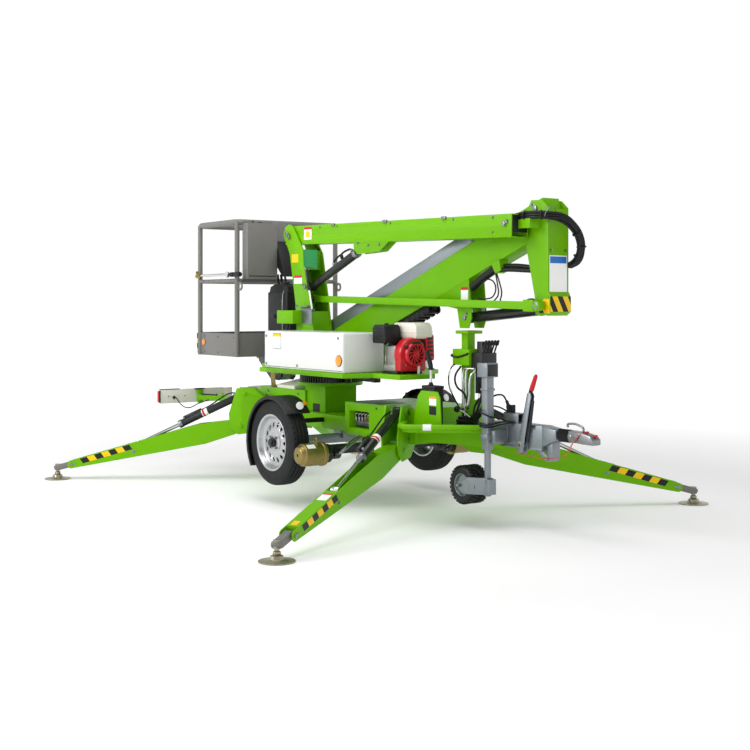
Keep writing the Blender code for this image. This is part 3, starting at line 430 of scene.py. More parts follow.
# %% Rounding the edges of the frame's solids
def rounded(solid, material, width=1.5 * MM, segments=2, angle=28):
    """Copies a solid, cleans it into flat faces and rounds its edges; the copy stands for it."""
    copy = nodes[solid].copy()
    copy.data = nodes[solid].data.copy()
    copy.parent = None
    for key in list(copy.keys()):
        del copy[key]
    bpy.context.collection.objects.link(copy)
    edit_all(named(copy, solid + "_finished"))
    bpy.ops.mesh.remove_doubles(threshold=0.00002)
    bpy.ops.mesh.dissolve_limited(angle_limit=radians(0.5))
    bpy.ops.object.mode_set(mode="OBJECT")
    soften(copy, width, segments, angle)
    return hand_over(copy, material, BODY_OF[solid], solid)


ROUNDED = (
    # solid, finish, edge width in mm
    ("chassis_frame", ENAMEL, 1.5), ("pedestal", ENAMEL, 2.0), ("tank_shelf", ENAMEL, 1.5),
    ("axle_beam", GALVANISED, 2.5), ("mudguard_left", PLASTIC, 1.5),
    ("mudguard_right", PLASTIC, 1.5),
    ("control_post", ENAMEL, 2.0), ("control_valve", BLACK, 2.0),
    ("lamp_board_left", CREAM, 3.0), ("lamp_board_right", CREAM, 3.0),
    ("rear_box", CREAM, 4.0), ("lamp_arm_left", ENAMEL, 1.5), ("lamp_arm_right", ENAMEL, 1.5),
    ("turntable", ENAMEL, 2.0), ("side_cover_left", GEL_COAT, 12.0),
    ("side_cover_right", GEL_COAT, 12.0), ("hydraulic_tank", PLASTIC, 12.0), ("tower", ENAMEL, 1.5),
    ("boom_lower", ENAMEL, 1.5), ("tie_bar", ENAMEL, 3.0), ("knuckle", ENAMEL, 1.2),
    ("boom_upper", ENAMEL, 1.5), ("cable_tray", GALVANISED, 0.6), ("boom_fly", GREY, 3.0),
    ("basket_bracket", BLACK, 1.5), ("basket_console", GREY, 4.0), ("control_cover", PLASTIC, 3.0),
    ("lift_lower_barrel", BLACK, 1.5), ("lift_upper_barrel", BLACK, 1.5),
    ("lift_lower_rod", CHROME, 1.0), ("lift_upper_rod", CHROME, 1.0),
)
for solid, material, width in ROUNDED:
    rounded(solid, material, width * MM)
CORNERS = ("front_right", "front_left", "rear_right", "rear_left")
for corner in CORNERS:
    rounded("ram_" + corner + "_barrel", BLACK, 1.5 * MM)
    rounded("ram_" + corner + "_rod", CHROME, 1.0 * MM)
print("rounded solids:", len(ROUNDED) + 8)

# %% [markdown]
# A 13 inch trailer tyre is moulded: four ribs parted by three grooves, small lugs on each shoulder, and
# a sidewall that swells out and carries a thin ridge. It could be a sculpted ring, but its section is
# the same all round, so it is spun from a profile, and only the shoulder lugs are cut afterwards.

# %% Tyre section
BEAD_R = 0.1825
TREAD_R = 0.29
HALF_SECTION = [
    # radius, distance from the tyre's middle
    (BEAD_R, 0.0726), (0.19, 0.0762), (0.197, 0.0765), (0.201, 0.0788), (0.215, 0.082),
    (0.234, 0.0824), (0.2365, 0.0834), (0.24, 0.0824), (0.258, 0.0797), (0.272, 0.0745),
    (0.281, 0.0675), (0.2862, 0.0595), (0.2882, 0.049), (0.289, 0.0365), (0.282, 0.0355),
    (0.282, 0.0275), (0.2895, 0.0265), (TREAD_R, 0.0045), (0.2828, 0.0036),
]
tyre_low, tyre_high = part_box("tyre_right")
FIT = (tyre_high.y - tyre_low.y) / 2 / 0.0834
HALF_SECTION = [(r, t * FIT) for r, t in HALF_SECTION]
TYRE_SECTION = HALF_SECTION + [(r, -t) for r, t in HALF_SECTION[::-1]]
SHOULDER = (0.049 * FIT, 0.0595 * FIT)
middle = (tyre_high.y + tyre_low.y) / 2
WHEEL_Y = {"right": middle, "left": -middle}
print("tyre section is", round(0.1668 * FIT, 3), "wide")


def cut_lugs(tyre, middle):
    """Sinks every third face of both shoulders, so that lugs stand between."""
    pick(tyre)
    bpy.ops.object.mode_set(mode="EDIT")
    bpy.ops.mesh.select_mode(type="FACE")
    bpy.ops.mesh.select_all(action="DESELECT")
    bpy.ops.object.mode_set(mode="OBJECT")
    wheel = at(0, middle, WHEEL_Z)
    for face in tyre.data.polygons:
        offset = abs(face.center.y - middle)
        turn = degrees(atan2(face.center.z - wheel.z, face.center.x - wheel.x)) % 360
        if SHOULDER[0] < offset < SHOULDER[1] and int(turn / 2.5) % 3 == 0:
            face.select = True
    bpy.ops.object.mode_set(mode="EDIT")
    bpy.ops.mesh.inset(thickness=0.0012, depth=-0.0045, use_individual=True)
    bpy.ops.object.mode_set(mode="OBJECT")


for side, middle in WHEEL_Y.items():
    tyre = turned("tyre_tread_" + side, TYRE_SECTION, (0, middle, WHEEL_Z), "Y", 144, 30)
    cut_lugs(tyre, middle)
    hand_over(tyre, TYRE, "wheel_" + side, "tyre_" + side)
print("faces of one tyre:", len(tyre.data.polygons))

# %% [markdown]
# The wheel is pressed steel in silver lacquer: a rolled rim with turned-out lips, and a dished disc
# with a ring of cooling slots. The disc and rim are one spun section. The slots are one stretched
# cylinder, copied round the disc and taken away with a Boolean, as a press would punch them.

# %% Rims with cooling slots
SLOTS, SLOT_R, SLOT_AT = 14, 0.0125, 0.1205
RIM_SECTION = (
    # radius, distance outwards from the wheel's middle
    (0.1815, -0.0726), (0.1815, 0.0726), (0.1905, 0.0752), (0.1925, 0.0772), (0.1905, 0.079),
    (0.184, 0.0772), (0.178, 0.0732), (0.1735, 0.064), (0.17, 0.048), (0.164, 0.04),
    (0.156, 0.033), (0.146, 0.03), (0.132, 0.031), (0.108, 0.04), (0.09, 0.0465),
    (0.079, 0.048), (0.071, 0.045), (0.064, 0.0465), (0.056, 0.052), (0.025, 0.0535),
    (0.025, 0.047), (0.056, 0.0455), (0.07, 0.0385), (0.089, 0.04), (0.107, 0.0335),
    (0.131, 0.0245), (0.147, 0.0235), (0.16, 0.027), (0.17, 0.038), (0.172, -0.0726),
)


def carve(obj, *cutters):
    """Takes each cutter away from the piece."""
    for cutter in cutters:
        cut = obj.modifiers.new("cut", "BOOLEAN")
        cut.operation = "DIFFERENCE"
        cut.object = cutter
        pick(obj)
        bpy.ops.object.modifier_apply(modifier=cut.name)
        bpy.data.objects.remove(cutter, do_unlink=True)
    return obj


def slot_cutter(middle, turn):
    bpy.ops.mesh.primitive_cylinder_add(vertices=16, radius=SLOT_R, depth=0.08, rotation=(pi / 2, 0, 0))
    cutter = bpy.context.object
    cutter.scale = (1.45, 1.0, 1.0)
    settle(cutter, "slot_cutter")
    spot = Vector((SLOT_AT * cos(turn), 0, SLOT_AT * sin(turn)))
    place = Matrix.Translation(at(0, middle, WHEEL_Z) + spot) @ Matrix.Rotation(-turn, 4, "Y")
    cutter.data.transform(place)
    return cutter


for side, middle in WHEEL_Y.items():
    out = copysign(1.0, middle)
    rim = turned("rim_disc_" + side, [(r, out * t * FIT) for r, t in RIM_SECTION], (0, middle, WHEEL_Z),
        "Y", 84, 30)
    ring = [slot_cutter(middle, tau * k / SLOTS) for k in range(SLOTS)]
    carve(rim, merge("slots", ring))
    hand_over(soften(rim, 0.0008, 1, 40), RIM_SILVER, "wheel_" + side, "rim_" + side)
print("rim faces:", len(rim.data.polygons))

# %% [markdown]
# Inside the dish stand the black brake drum, the black hub cap and four wheel bolts on a 98 mm circle.

# %% Hub, drum and wheel bolts
DRUM = ((0.03, -0.06), (0.112, -0.06), (0.115, -0.045), (0.115, 0.006), (0.108, 0.012), (0.03, 0.016))
CAP = ((0.001, 0.04), (0.033, 0.04), (0.033, 0.062), (0.03, 0.066), (0.026, 0.067), (0.025, 0.079),
    (0.018, 0.083), (0.001, 0.084))
for side, middle in WHEEL_Y.items():
    out = copysign(1.0, middle)
    for name, sides, profile in (("brake_drum_", 48, DRUM), ("hub_cap_", 32, CAP)):
        ring = [(radius, out * along) for radius, along in profile]
        hand_over(turned(name + side, ring, (0, middle, WHEEL_Z), "Y", sides), BLACK, "wheel_" + side)
    circle = [tau * (k + 0.5) / 4 for k in range(4)]
    bolted("wheel_bolts_" + side, "wheel_" + side,
        [(0.049 * cos(a), middle + out * 0.0525, WHEEL_Z + 0.049 * sin(a)) for a in circle], (0, out, 0),
        0.0105)

# %% [markdown]
# The mudguards keep their rolled plastic shape. Each gets two bolts on its arm and a round white
# reflector at its front end, with a small amber lamp below it.

# %% Mudguard fittings
for side, middle in WHEEL_Y.items():
    out = copysign(1.0, middle)
    hand_over(side_plate("guard_bracket_" + side,
        ((0.195, 0.655), (0.232, 0.65), (0.226, 0.7), (0.19, 0.705)), out * 0.602,
        out * 0.632), PLASTIC, "chassis")
    hand_over(disc("guard_reflector_" + side, (0.228, out * 0.62, 0.675), (0.237, out * 0.622, 0.677),
        0.026, 0.002, 32), LAMP_WHITE, "chassis")
    hand_over(disc("guard_lamp_" + side, (0.215, out * 0.575, 0.69), (0.224, out * 0.575, 0.692),
        0.015), AMBER, "chassis")
    bolted("guard_bolts_" + side, "chassis", [(-0.1375, out * 0.5565, z) for z in (0.58, 0.64)],
        (0, out, 0), 0.008)

# %% [markdown]
# The four legs are the machine's stance. Each is a tapered box folded from 6 mm plate, open on top
# where its cylinder lies, with a forked end that holds a grey ankle link. The whole leg is worked out
# in its own plane: along the leg, across it in height, and sideways. One function turns those three
# into a point in the frame, from the hinge that the frame gives.

# %% The plane of each leg
ANKLE_HEIGHT, ANKLE_REACH, ANKLE_PIN = 0.09, 1.489, 1.365
LEG_HALF, LEG_WALL = 0.0425, 0.006
LEGS = {}
for hinge in frame["record"]["behaviour"]["joints"]:
    if hinge["name"].startswith("leg_fold_"):
        axis = Vector(hinge["axis"])
        LEGS[hinge["name"][9:]] = (Vector(hinge["pos_m"]), Vector((axis.y, -axis.x, 0.0)))
HINGE_Z = LEGS["front_right"][0].z
DROP = asin((HINGE_Z - ANKLE_HEIGHT) / ANKLE_REACH)


def leg_plane(corner, reach, height, side):
    """A point over a leg's plan line, before the leg's own slope."""
    hinge_place, out = LEGS[corner]
    return hinge_place + out * reach + Vector((-out.y, out.x, 0)) * side + Vector((0, 0, height))


def sloped(along, across):
    return (along * cos(DROP) + across * sin(DROP), across * cos(DROP) - along * sin(DROP))


def leg_point(corner, along, across, side):
    """A point of a leg, along it and square across it, in the frame."""
    return leg_plane(corner, *sloped(along, across), side)


def leg_plate(name, corner, outline, side_from, side_to, soft=0.0015):
    return cut_plate(name, outline, side_to - side_from,
        lambda u, v, d: leg_point(corner, u, v, side_from + d), soft)


def bar(name, start, end, radius, soft=0.001, sides=24, taper=1.0):
    """A round bar between two points of the frame."""
    return disc(name, start - at(0, 0, 0), end - at(0, 0, 0), radius, soft, sides, taper)


print("legs drop at", round(degrees(DROP), 1), "degrees")

# %% [markdown]
# The beam starts as one prism of the side outline. Two cutters open it: a long pocket for the cylinder
# and the fork at the ankle. Its upper edge falls in a straight line to the fork, where it ends round.

# %% Leg beams
FORK_R = 0.031
BEAM = [(-0.036, -0.03), (0.0, -0.048), (0.3, -0.075)]
for step in range(9):
    turn = radians(-80 + 20 * step)
    BEAM.append((ANKLE_PIN + FORK_R * cos(turn), FORK_R * sin(turn)))
BEAM += [(0.32, 0.085), (0.0, 0.048), (-0.036, 0.03)]
POCKET = ((0.205, 0.2), (0.235, 0.03), (0.5, -0.05), (0.84, -0.04), (0.872, 0.2))
FORK = ((ANKLE_PIN - 0.05, -0.06), (ANKLE_PIN - 0.05, 0.06), (ANKLE_PIN + 0.05, 0.06),
    (ANKLE_PIN + 0.05, -0.06))
INNER = LEG_HALF - LEG_WALL
for corner in LEGS:
    beam = leg_plate("leg_beam_" + corner, corner, BEAM, -LEG_HALF, LEG_HALF, 0.0)
    for opening in (POCKET, FORK):
        carve(beam, leg_plate("cutter", corner, opening, -INNER, INNER, 0.0))
    soften(beam, 0.0018, 2, 25)
    hand_over(beam, ENAMEL, "leg_" + corner, "leg_" + corner)
print("leg beam faces:", len(beam.data.polygons))

# %% [markdown]
# The ankle is a grey link between the fork plates, with its pin, and a foot that tilts: a plated bolt
# with a collar, a ball, and a round dished pad 200 mm across. The pad and the collar are turned.

# %% Ankles and feet
LINK = ((ANKLE_PIN - 0.03, -0.02), (ANKLE_REACH - 0.012, -0.024), (ANKLE_REACH + 0.018, -0.014),
    (ANKLE_REACH + 0.024, 0.004), (ANKLE_REACH + 0.014, 0.019), (ANKLE_PIN - 0.01, 0.024),
    (ANKLE_PIN - 0.03, 0.012))
PAD_SECTION = ((0.001, 0.0), (0.097, 0.0), (0.1, 0.003), (0.099, 0.007), (0.05, 0.011), (0.04, 0.016),
    (0.034, 0.033), (0.026, 0.036), (0.001, 0.036))
STEM_SECTION = ((0.001, 0.034), (0.017, 0.034), (0.023, 0.044), (0.02, 0.055), (0.013, 0.06),
    (0.013, 0.066), (0.021, 0.068), (0.021, 0.086), (0.018, 0.088), (0.018, 0.108), (0.021, 0.11),
    (0.021, 0.116), (0.001, 0.1165))
for corner in LEGS:
    body = "leg_" + corner
    hand_over(leg_plate("ankle_link_" + corner, corner, LINK, -0.025, 0.025, 0.003), GREY, body)
    foot = leg_point(corner, ANKLE_REACH, 0, 0) - at(0, 0, 0)
    foot.z = 0.0
    hand_over(turned("foot_pad_" + corner, PAD_SECTION, foot, "Z", 56), PLATED, body)
    hand_over(turned("foot_stem_" + corner, STEM_SECTION, foot, "Z", 28), PLATED, body)
    pins = []
    for side in (-1, 1):
        start = leg_point(corner, ANKLE_PIN, 0, side * LEG_HALF)
        end = leg_point(corner, ANKLE_PIN, 0, side * (LEG_HALF + 0.007))
        pins.append(bar("pin_head", start, end, 0.0115, 0.0015))
        tab = leg_plate("tab", corner, (
            (ANKLE_PIN - 0.034, -0.007), (ANKLE_PIN + 0.012, -0.007), (ANKLE_PIN + 0.012, 0.007),
            (ANKLE_PIN - 0.034, 0.007)), side * (LEG_HALF + 0.0015), side * (LEG_HALF + 0.004), 0.0)
        pins.append(tab)
    hand_over(merge("ankle_pins_" + corner, pins), STEEL, body)

# %% [markdown]
# Yellow and black film runs along both sides of each leg near the foot. The bands are geometry: thin
# slanted plates cut along the beam's falling edge, so they stay sharp from any distance.

# %% Hazard bands on the legs
BAND_FROM, BAND_TO, BANDS, BAND_H, BAND_SLANT = 0.865, 1.27, 7, 0.04, 0.018
FILM = 0.0005


def beam_top(along):
    return 0.085 + (FORK_R - 0.085) * (along - 0.32) / (ANKLE_PIN - 0.32)


for corner in LEGS:
    groups = {0: [], 1: []}
    pitch = (BAND_TO - BAND_FROM) / BANDS
    for k in range(BANDS):
        u0 = BAND_FROM + k * pitch
        u1 = u0 + pitch
        low = [(u0, beam_top(u0) - 0.008 - BAND_H), (u1, beam_top(u1) - 0.008 - BAND_H)]
        high = [(u1 + BAND_SLANT, beam_top(u1) - 0.008), (u0 + BAND_SLANT, beam_top(u0) - 0.008)]
        for side in (-1, 1):
            edge = side * LEG_HALF
            groups[k % 2].append(leg_plate("band", corner, low + high, edge, edge + side * FILM, 0.0))
    hand_over(merge("hazard_black_" + corner, groups[0]), STRIPE_BLACK, "leg_" + corner)
    hand_over(merge("hazard_yellow_" + corner, groups[1]), STRIPE_YELLOW, "leg_" + corner)

# %% [markdown]
# Each leg also has a blank white notice on its top plate, a small yellow one near the fork,
# and a bolt head in each side where the pocket ends.

# %% Notices and lock pins on the legs
def leg_top_film(name, corner, u0, u1, half_width):
    corners = [(u0, -half_width), (u1, -half_width), (u1, half_width), (u0, half_width)]
    return cut_plate(name + corner, corners, FILM,
        lambda u, v, d: leg_point(corner, u, beam_top(u) + 0.0003 + d, v), 0.0)


for corner in LEGS:
    body = "leg_" + corner
    hand_over(leg_top_film("leg_notice_", corner, 0.912, 0.985, 0.031), FILM_WHITE, body)
    hand_over(leg_top_film("leg_notice_head_", corner, 0.894, 0.912, 0.031), FILM_RED, body)
    hand_over(leg_top_film("leg_mark_", corner, 1.255, 1.305, 0.02), STRIPE_YELLOW, body)
    locks = []
    for side in (-1, 1):
        start = leg_point(corner, 0.86, -0.01, side * LEG_HALF)
        halfway = leg_point(corner, 0.86, -0.01, side * (LEG_HALF + 0.002))
        end = leg_point(corner, 0.86, -0.01, side * (LEG_HALF + 0.008))
        locks.append(bar("washer", start, halfway, 0.012, 0.0))
        locks.append(bar("head", halfway, end, 0.008, 0.001, 6))
    hand_over(merge("leg_side_bolts_" + corner, locks), STEEL, body)

# %% [markdown]
# The leg cylinders are painted black, with a steel gland nut where the chromed rod comes out, a hose
# that ends in a black sleeve beside the barrel, and a small notice. All of it rides on the barrel.

# %% Leg cylinder fittings
RAM_TOP = (-0.03, 0.245)
RAM_EYE = (0.81, 0.04)
RAM_BARREL = 0.567
eye_reach, eye_height = sloped(*RAM_EYE)
ram_run = Vector((eye_reach - RAM_TOP[0], 0, eye_height - RAM_TOP[1])).normalized()


def ram_point(corner, distance, lift=0.0, side=0.0):
    """A point along a leg cylinder from its top pin, lifted square to it."""
    reach = RAM_TOP[0] + ram_run.x * distance - ram_run.z * lift
    return leg_plane(corner, reach, RAM_TOP[1] + ram_run.z * distance + ram_run.x * lift, side)


for corner in LEGS:
    body = "ram_" + corner + "_barrel"
    joined("ram_gland_" + corner, STEEL, body, [
        bar("gland", ram_point(corner, RAM_BARREL - 0.024), ram_point(corner, RAM_BARREL + 0.006), 0.0305,
            0.002, 12),
        bar("port", ram_point(corner, RAM_BARREL - 0.05, 0.02), ram_point(corner, RAM_BARREL - 0.05, 0.044),
            0.009, 0.001, 6),
        bar("port", ram_point(corner, 0.085, 0.02), ram_point(corner, 0.085, 0.044), 0.009, 0.001, 6),
    ])
    hand_over(bar("ram_sleeve_" + corner, ram_point(corner, 0.375, 0.03, -0.03),
        ram_point(corner, 0.525, 0.03, -0.03), 0.015, 0.004, 20), BLACK, body)
    hand_over(hose("ram_line_" + corner,
        [
            ram_point(corner, d, h, w) - at(0, 0, 0)
            for d, h, w in ((0.085, 0.042, 0), (0.13, 0.052, -0.012), (0.22, 0.044, -0.022),
                (0.3, 0.032, -0.028), (0.385, 0.03, -0.03))], 0.0055), RUBBER, body)
    hand_over(bar("ram_notice_" + corner, ram_point(corner, 0.325), ram_point(corner, 0.372), 0.0284, 0.0,
        32), FILM_WHITE, body)
    hand_over(bar("ram_mark_" + corner, ram_point(corner, 0.35), ram_point(corner, 0.366), 0.0287, 0.0,
        32), FILM_RED, body)

# %% [markdown]
# The slewing ring is a big bearing whose outer race carries gear teeth. The photograph shows them in
# the shadow under the plate. The teeth are the outline of a disc: four points a tooth, extruded.

# %% Slewing ring and its drive
SLEW_X = -0.34
TEETH, RING_FOOT, RING_HEAD = 66, 0.212, 0.226
gear = []
for tooth in range(TEETH):
    for share, radius in ((0.0, RING_FOOT), (0.26, RING_FOOT), (0.4, RING_HEAD), (0.72, RING_HEAD),
                          (0.86, RING_FOOT)):
        turn = tau * (tooth + share) / TEETH
        gear.append((SLEW_X + radius * cos(turn), radius * sin(turn)))


def flat_plate(name, outline, z0, z1, soft=0.0015):
    """A plate whose outline lies in X and Y, from z0 to z1."""
    return cut_plate(name, outline, z1 - z0, lambda u, v, d: at(u, v, z0 + d), soft)


hand_over(flat_plate("slewing_ring_teeth", gear, 0.789, 0.835, 0.0), BLACK, "chassis", "slew_ring")
joined("slew_motor", BLACK, SUPER, [
    disc("motor", (0.02, -0.05, 0.838), (0.02, -0.05, 0.872), 0.055, 0.004, 32),
    disc("pinion", (-0.085, -0.02, 0.795), (-0.085, -0.02, 0.873), 0.026, 0.002, 16),
    block("gear_case", (-0.1, -0.1, 0.842), (0.1, 0.02, 0.874), 0.01),
    disc("drive_motor", (0.09, -0.04, 0.842), (0.29, -0.04, 0.842), 0.03, 0.004, 28),
    block("port_block", (0.26, -0.065, 0.812), (0.31, -0.015, 0.872), 0.004),
])
bolted("ring_bolts", SUPER,
    [(SLEW_X + 0.182 * cos(tau * k / 20), 0.182 * sin(tau * k / 20), 0.9055) for k in range(20)], (0, 0, 1),
    0.008)
print("ring teeth:", TEETH)

# %% [markdown]
# The long white cover is a glass fibre moulding. It carries a round amber reflector near its front
# edge, a small blank notice at its back, a parting line near its foot and quarter turn studs.

# %% Fittings on the white cover
COVER_Y = -0.56
hand_over(disc("cover_reflector", (0.608, COVER_Y + 0.001, 0.985), (0.608, COVER_Y - 0.007, 0.985), 0.033,
    0.003, 36), AMBER, SUPER)
hand_over(disc("cover_reflector_foot", (0.608, COVER_Y + 0.001, 0.985), (0.608, COVER_Y - 0.003, 0.985),
    0.037, 0.001, 36), PLASTIC, SUPER)
film("cover_notice_edge", GREY, SUPER, (-0.219, COVER_Y - 0.0006, 1.041), (-0.111, COVER_Y, 1.15))
film("cover_notice", FILM_WHITE, SUPER, (-0.215, COVER_Y - 0.001, 1.045), (-0.115, COVER_Y, 1.146))
film("cover_notice_mark", STRIPE_YELLOW, SUPER, (-0.215, COVER_Y - 0.0014, 1.126), (-0.115, COVER_Y, 1.146))
joined("cover_studs", STEEL, SUPER,
    [
        disc("stud", (x, COVER_Y + 0.001, z), (x, COVER_Y - 0.004, z), 0.009, 0.001, 20)
        for x, z in ((-0.31, 0.935), (0.1, 0.935), (-0.31, 1.13), (0.6, 1.13))])
film("cover_seam", PLASTIC, SUPER, (-0.336, COVER_Y - 0.0012, 0.918), (0.65, COVER_Y + 0.002, 0.9205))
hand_over(block("plate_edge_strip", (-0.3, COVER_Y - 0.01, 0.877), (0.64, COVER_Y - 0.008, 0.903),
    0.0005), ENAMEL, SUPER)

# %% [markdown]
# The engine is a small air cooled four stroke. From the photograph: a red fan housing with a black
# recoil starter, a cream fuel tank on top, a black air cleaner, a cast crankcase, a finned cylinder
# and a red guard over the silencer. Each of these is its own piece, and together they stand for the
# engine's solid.

# %% Engine: crankcase, cylinder and feet
ENGINE_Y, CRANK_Z, DECK = -0.23, 1.03, 0.905
case = [
    block("case", (0.775, -0.315, 0.93), (0.905, -0.135, 1.085), 0.012),
    block("sump", (0.765, -0.322, 0.922), (0.905, -0.128, 0.965), 0.008),
    disc("cover", (0.776, -0.25, 1.0), (0.764, -0.25, 1.0), 0.062, 0.004, 28),
    disc("pump", (0.765, ENGINE_Y, 0.99), (0.72, ENGINE_Y, 0.99), 0.046, 0.005),
    disc("pump_cap", (0.722, ENGINE_Y, 0.99), (0.706, ENGINE_Y, 0.99), 0.03, 0.004, 20),
]
for level in range(7):
    z = 1.078 + 0.0085 * level
    case.append(block("fin", (0.785, -0.222, z), (0.922, -0.1, z + 0.0035), 0.001, 1))
case.append(block("head", (0.8, -0.205, 1.07), (0.905, -0.115, 1.134), 0.004))
for level in range(5):
    y = -0.32 + 0.02 * level
    case.append(block("rib", (0.79, y - 0.0025, 0.95), (0.797, y + 0.0025, 1.08), 0.001, 1))
hand_over(merge("engine_case", case), CAST, SUPER, "engine")
joined("engine_feet", BLACK, SUPER, [
    block("foot", (0.755, -0.327, DECK + 0.0005), (0.918, -0.283, 0.922)),
    block("foot", (0.755, -0.167, DECK + 0.0005), (0.918, -0.123, 0.922)),
], "engine")
bolted("engine_foot_bolts", SUPER, [(x, y, 0.922) for x in (0.775, 0.9) for y in (-0.305, -0.145)],
    (0, 0, 1), 0.008)

# %% [markdown]
# The fan housing is pressed steel: a drum with a skirt. The starter cover in front of it has a ring of
# curved slots, made as raised vanes over a black screen, a hub, and a rope grip at its upper edge.

# %% Engine: fan housing and starter
SLOT_COUNT = 12
housing = [
    turned("drum", (
        (0.001, 0.9), (0.104, 0.9), (0.108, 0.906), (0.108, 0.955), (0.102, 0.968), (0.08, 0.972),
        (0.001, 0.972)), (0, ENGINE_Y, CRANK_Z), "X", 56),
    block("skirt", (0.903, -0.333, 0.925), (0.965, -0.128, 1.02), 0.01),
]
rim_profile = ((0.058, 0.968), (0.078, 0.968), (0.078, 0.99), (0.072, 0.999), (0.062, 1.0), (0.058, 0.996))
housing.append(turned("rim", rim_profile, (0, ENGINE_Y, CRANK_Z), "X", 48))
housing.append(turned("hub", (
    (0.001, 0.968), (0.022, 0.968), (0.022, 0.996), (0.016, 1.0),
    (0.001, 1.0)), (0, ENGINE_Y, CRANK_Z), "X", 32))
for k in range(SLOT_COUNT):
    turn = tau * k / SLOT_COUNT
    lead = turn + 0.42

    def on_face(radius, angle, x):
        return (x, ENGINE_Y + radius * cos(angle), CRANK_Z + radius * sin(angle))

    vane = hose("vane", [on_face(0.019, turn, 0.994), on_face(0.04, turn + 0.16, 0.994),
                         on_face(0.061, lead, 0.994)], 0.0045)
    housing.append(vane)
hand_over(merge("engine_housing", housing), RED, SUPER, "engine")
hand_over(disc("engine_screen", (0.968, ENGINE_Y, CRANK_Z), (0.984, ENGINE_Y, CRANK_Z), 0.06, 0.001,
    40), BLACK, SUPER, "engine")
joined("engine_rope_grip", PLASTIC, SUPER, [
    block("grip", (0.985, -0.262, 1.098), (1.002, -0.198, 1.114), 0.005),
    disc("stop", (0.975, -0.29, 1.075), (0.992, -0.29, 1.075), 0.012, 0.002, 16),
], "engine")
bolted("engine_housing_bolts", SUPER,
    [(0.973, ENGINE_Y + 0.092 * cos(a), CRANK_Z + 0.092 * sin(a)) for a in (0.8, 2.4, 3.9, 5.5)], (1, 0, 0),
    0.006, "engine")

# %% [markdown]
# The tank is two pressings seamed round the middle, so it gets a seam band. Cap, air cleaner and
# carburettor are plastic and cast pieces. The silencer sits under a red sheet guard with slots.

# %% Engine: tank, air cleaner and silencer
hand_over(side_plate("engine_tank", (
    (0.73, 1.128), (0.975, 1.128), (0.985, 1.15), (0.98, 1.21), (0.955, 1.232), (0.75, 1.232),
    (0.725, 1.21), (0.722, 1.15)), -0.222, -0.088, 0.012), CREAM, SUPER, "engine")
hand_over(block("engine_tank_seam", (0.72, -0.224, 1.17), (0.986, -0.086, 1.176),
    0.002), CREAM, SUPER, "engine")
hand_over(turned("engine_tank_cap", (
    (0.001, 1.225), (0.026, 1.225), (0.026, 1.234), (0.022, 1.2395),
    (0.001, 1.2395)), (0.8, -0.155, 0), "Z", 24), BLACK, SUPER, "engine")
cleaner = [
    side_plate("box", (
        (0.702, 1.1), (0.835, 1.1), (0.842, 1.12), (0.836, 1.205), (0.815, 1.219), (0.72, 1.219),
        (0.701, 1.2)), -0.364, -0.236, 0.008),
    disc("knob", (0.77, -0.3, 1.215), (0.77, -0.3, 1.228), 0.014, 0.003, 20),
    block("elbow", (0.77, -0.29, 1.062), (0.82, -0.192, 1.13), 0.008),
]
for level in range(4):
    z = 1.125 + 0.022 * level
    cleaner.append(block("rib", (0.706, -0.3665, z), (0.832, -0.36, z + 0.006), 0.002, 1))
hand_over(merge("engine_air_cleaner", cleaner), PLASTIC, SUPER, "engine")
hand_over(side_plate("engine_silencer_guard", (
    (0.8, 0.99), (0.978, 0.99), (0.985, 1.01), (0.978, 1.15), (0.96, 1.162),
    (0.8, 1.162)), -0.14, -0.075, 0.006), RED, SUPER, "engine")
slots = []
for row in range(5):
    z = 1.022 + 0.026 * row
    slots.append(block("slot", (0.979, -0.131, z), (0.9868, -0.084, z + 0.01), 0.002, 1))
    slots.append(block("slot", (0.83, -0.076, z), (0.95, -0.0738, z + 0.01), 0.001, 1))
hand_over(merge("engine_guard_slots", slots), BLACK, SUPER, "engine")
hand_over(hose("engine_plug_lead", [
    (0.93, -0.2, 1.1), (0.955, -0.15, 1.118), (0.968, -0.142, 1.09),
    (0.965, -0.16, 1.05)], 0.004), RUBBER, SUPER)
joined("engine_stays", CREAM, SUPER, [
    block("stay", (0.706, -0.232, 0.9055), (0.722, -0.216, 1.15), 0.002),
    block("stay", (0.985, -0.216, 0.9055), (0.995, -0.2, 0.96), 0.002),
])
print("engine pieces stand for one solid")

# %% [markdown]
# The tower's near cheek carries small blank notices: yellow, green, red on white, and a blue disc near
# its foot. They are thin films, a fraction of a millimetre proud of the paint.

# %% Films on the tower
CHEEK_Y = -0.216
film("tower_film_yellow", STRIPE_YELLOW, SUPER, (-0.53, CHEEK_Y - FILM, 1.655),
    (-0.44, CHEEK_Y + 0.001, 1.715))
film("tower_film_green", FILM_GREEN, SUPER, (-0.368, CHEEK_Y - FILM, 1.66),
    (-0.352, CHEEK_Y + 0.001, 1.715))
hand_over(side_plate("tower_sheet_green", (
    (-0.352, 1.625), (-0.17, 1.6), (-0.17, 1.735),
    (-0.36, 1.745)), -0.226, -0.223, 0.001), FILM_GREEN, SUPER)
hand_over(block("tower_sheet_stay", (-0.35, -0.2235, 1.6), (-0.335, CHEEK_Y + 0.002, 1.745),
    0.001), ENAMEL, SUPER)
film("tower_film_white", FILM_WHITE, SUPER, (-0.495, CHEEK_Y - FILM, 1.5), (-0.39, CHEEK_Y + 0.001, 1.56))
film("tower_film_red", FILM_RED, SUPER, (-0.495, CHEEK_Y - 2 * FILM, 1.542), (-0.39, CHEEK_Y, 1.56))
hand_over(disc("tower_disc_blue", (-0.235, CHEEK_Y + 0.001, 1.01), (-0.235, CHEEK_Y - FILM, 1.01), 0.03,
    0.0, 32), FILM_BLUE, SUPER)

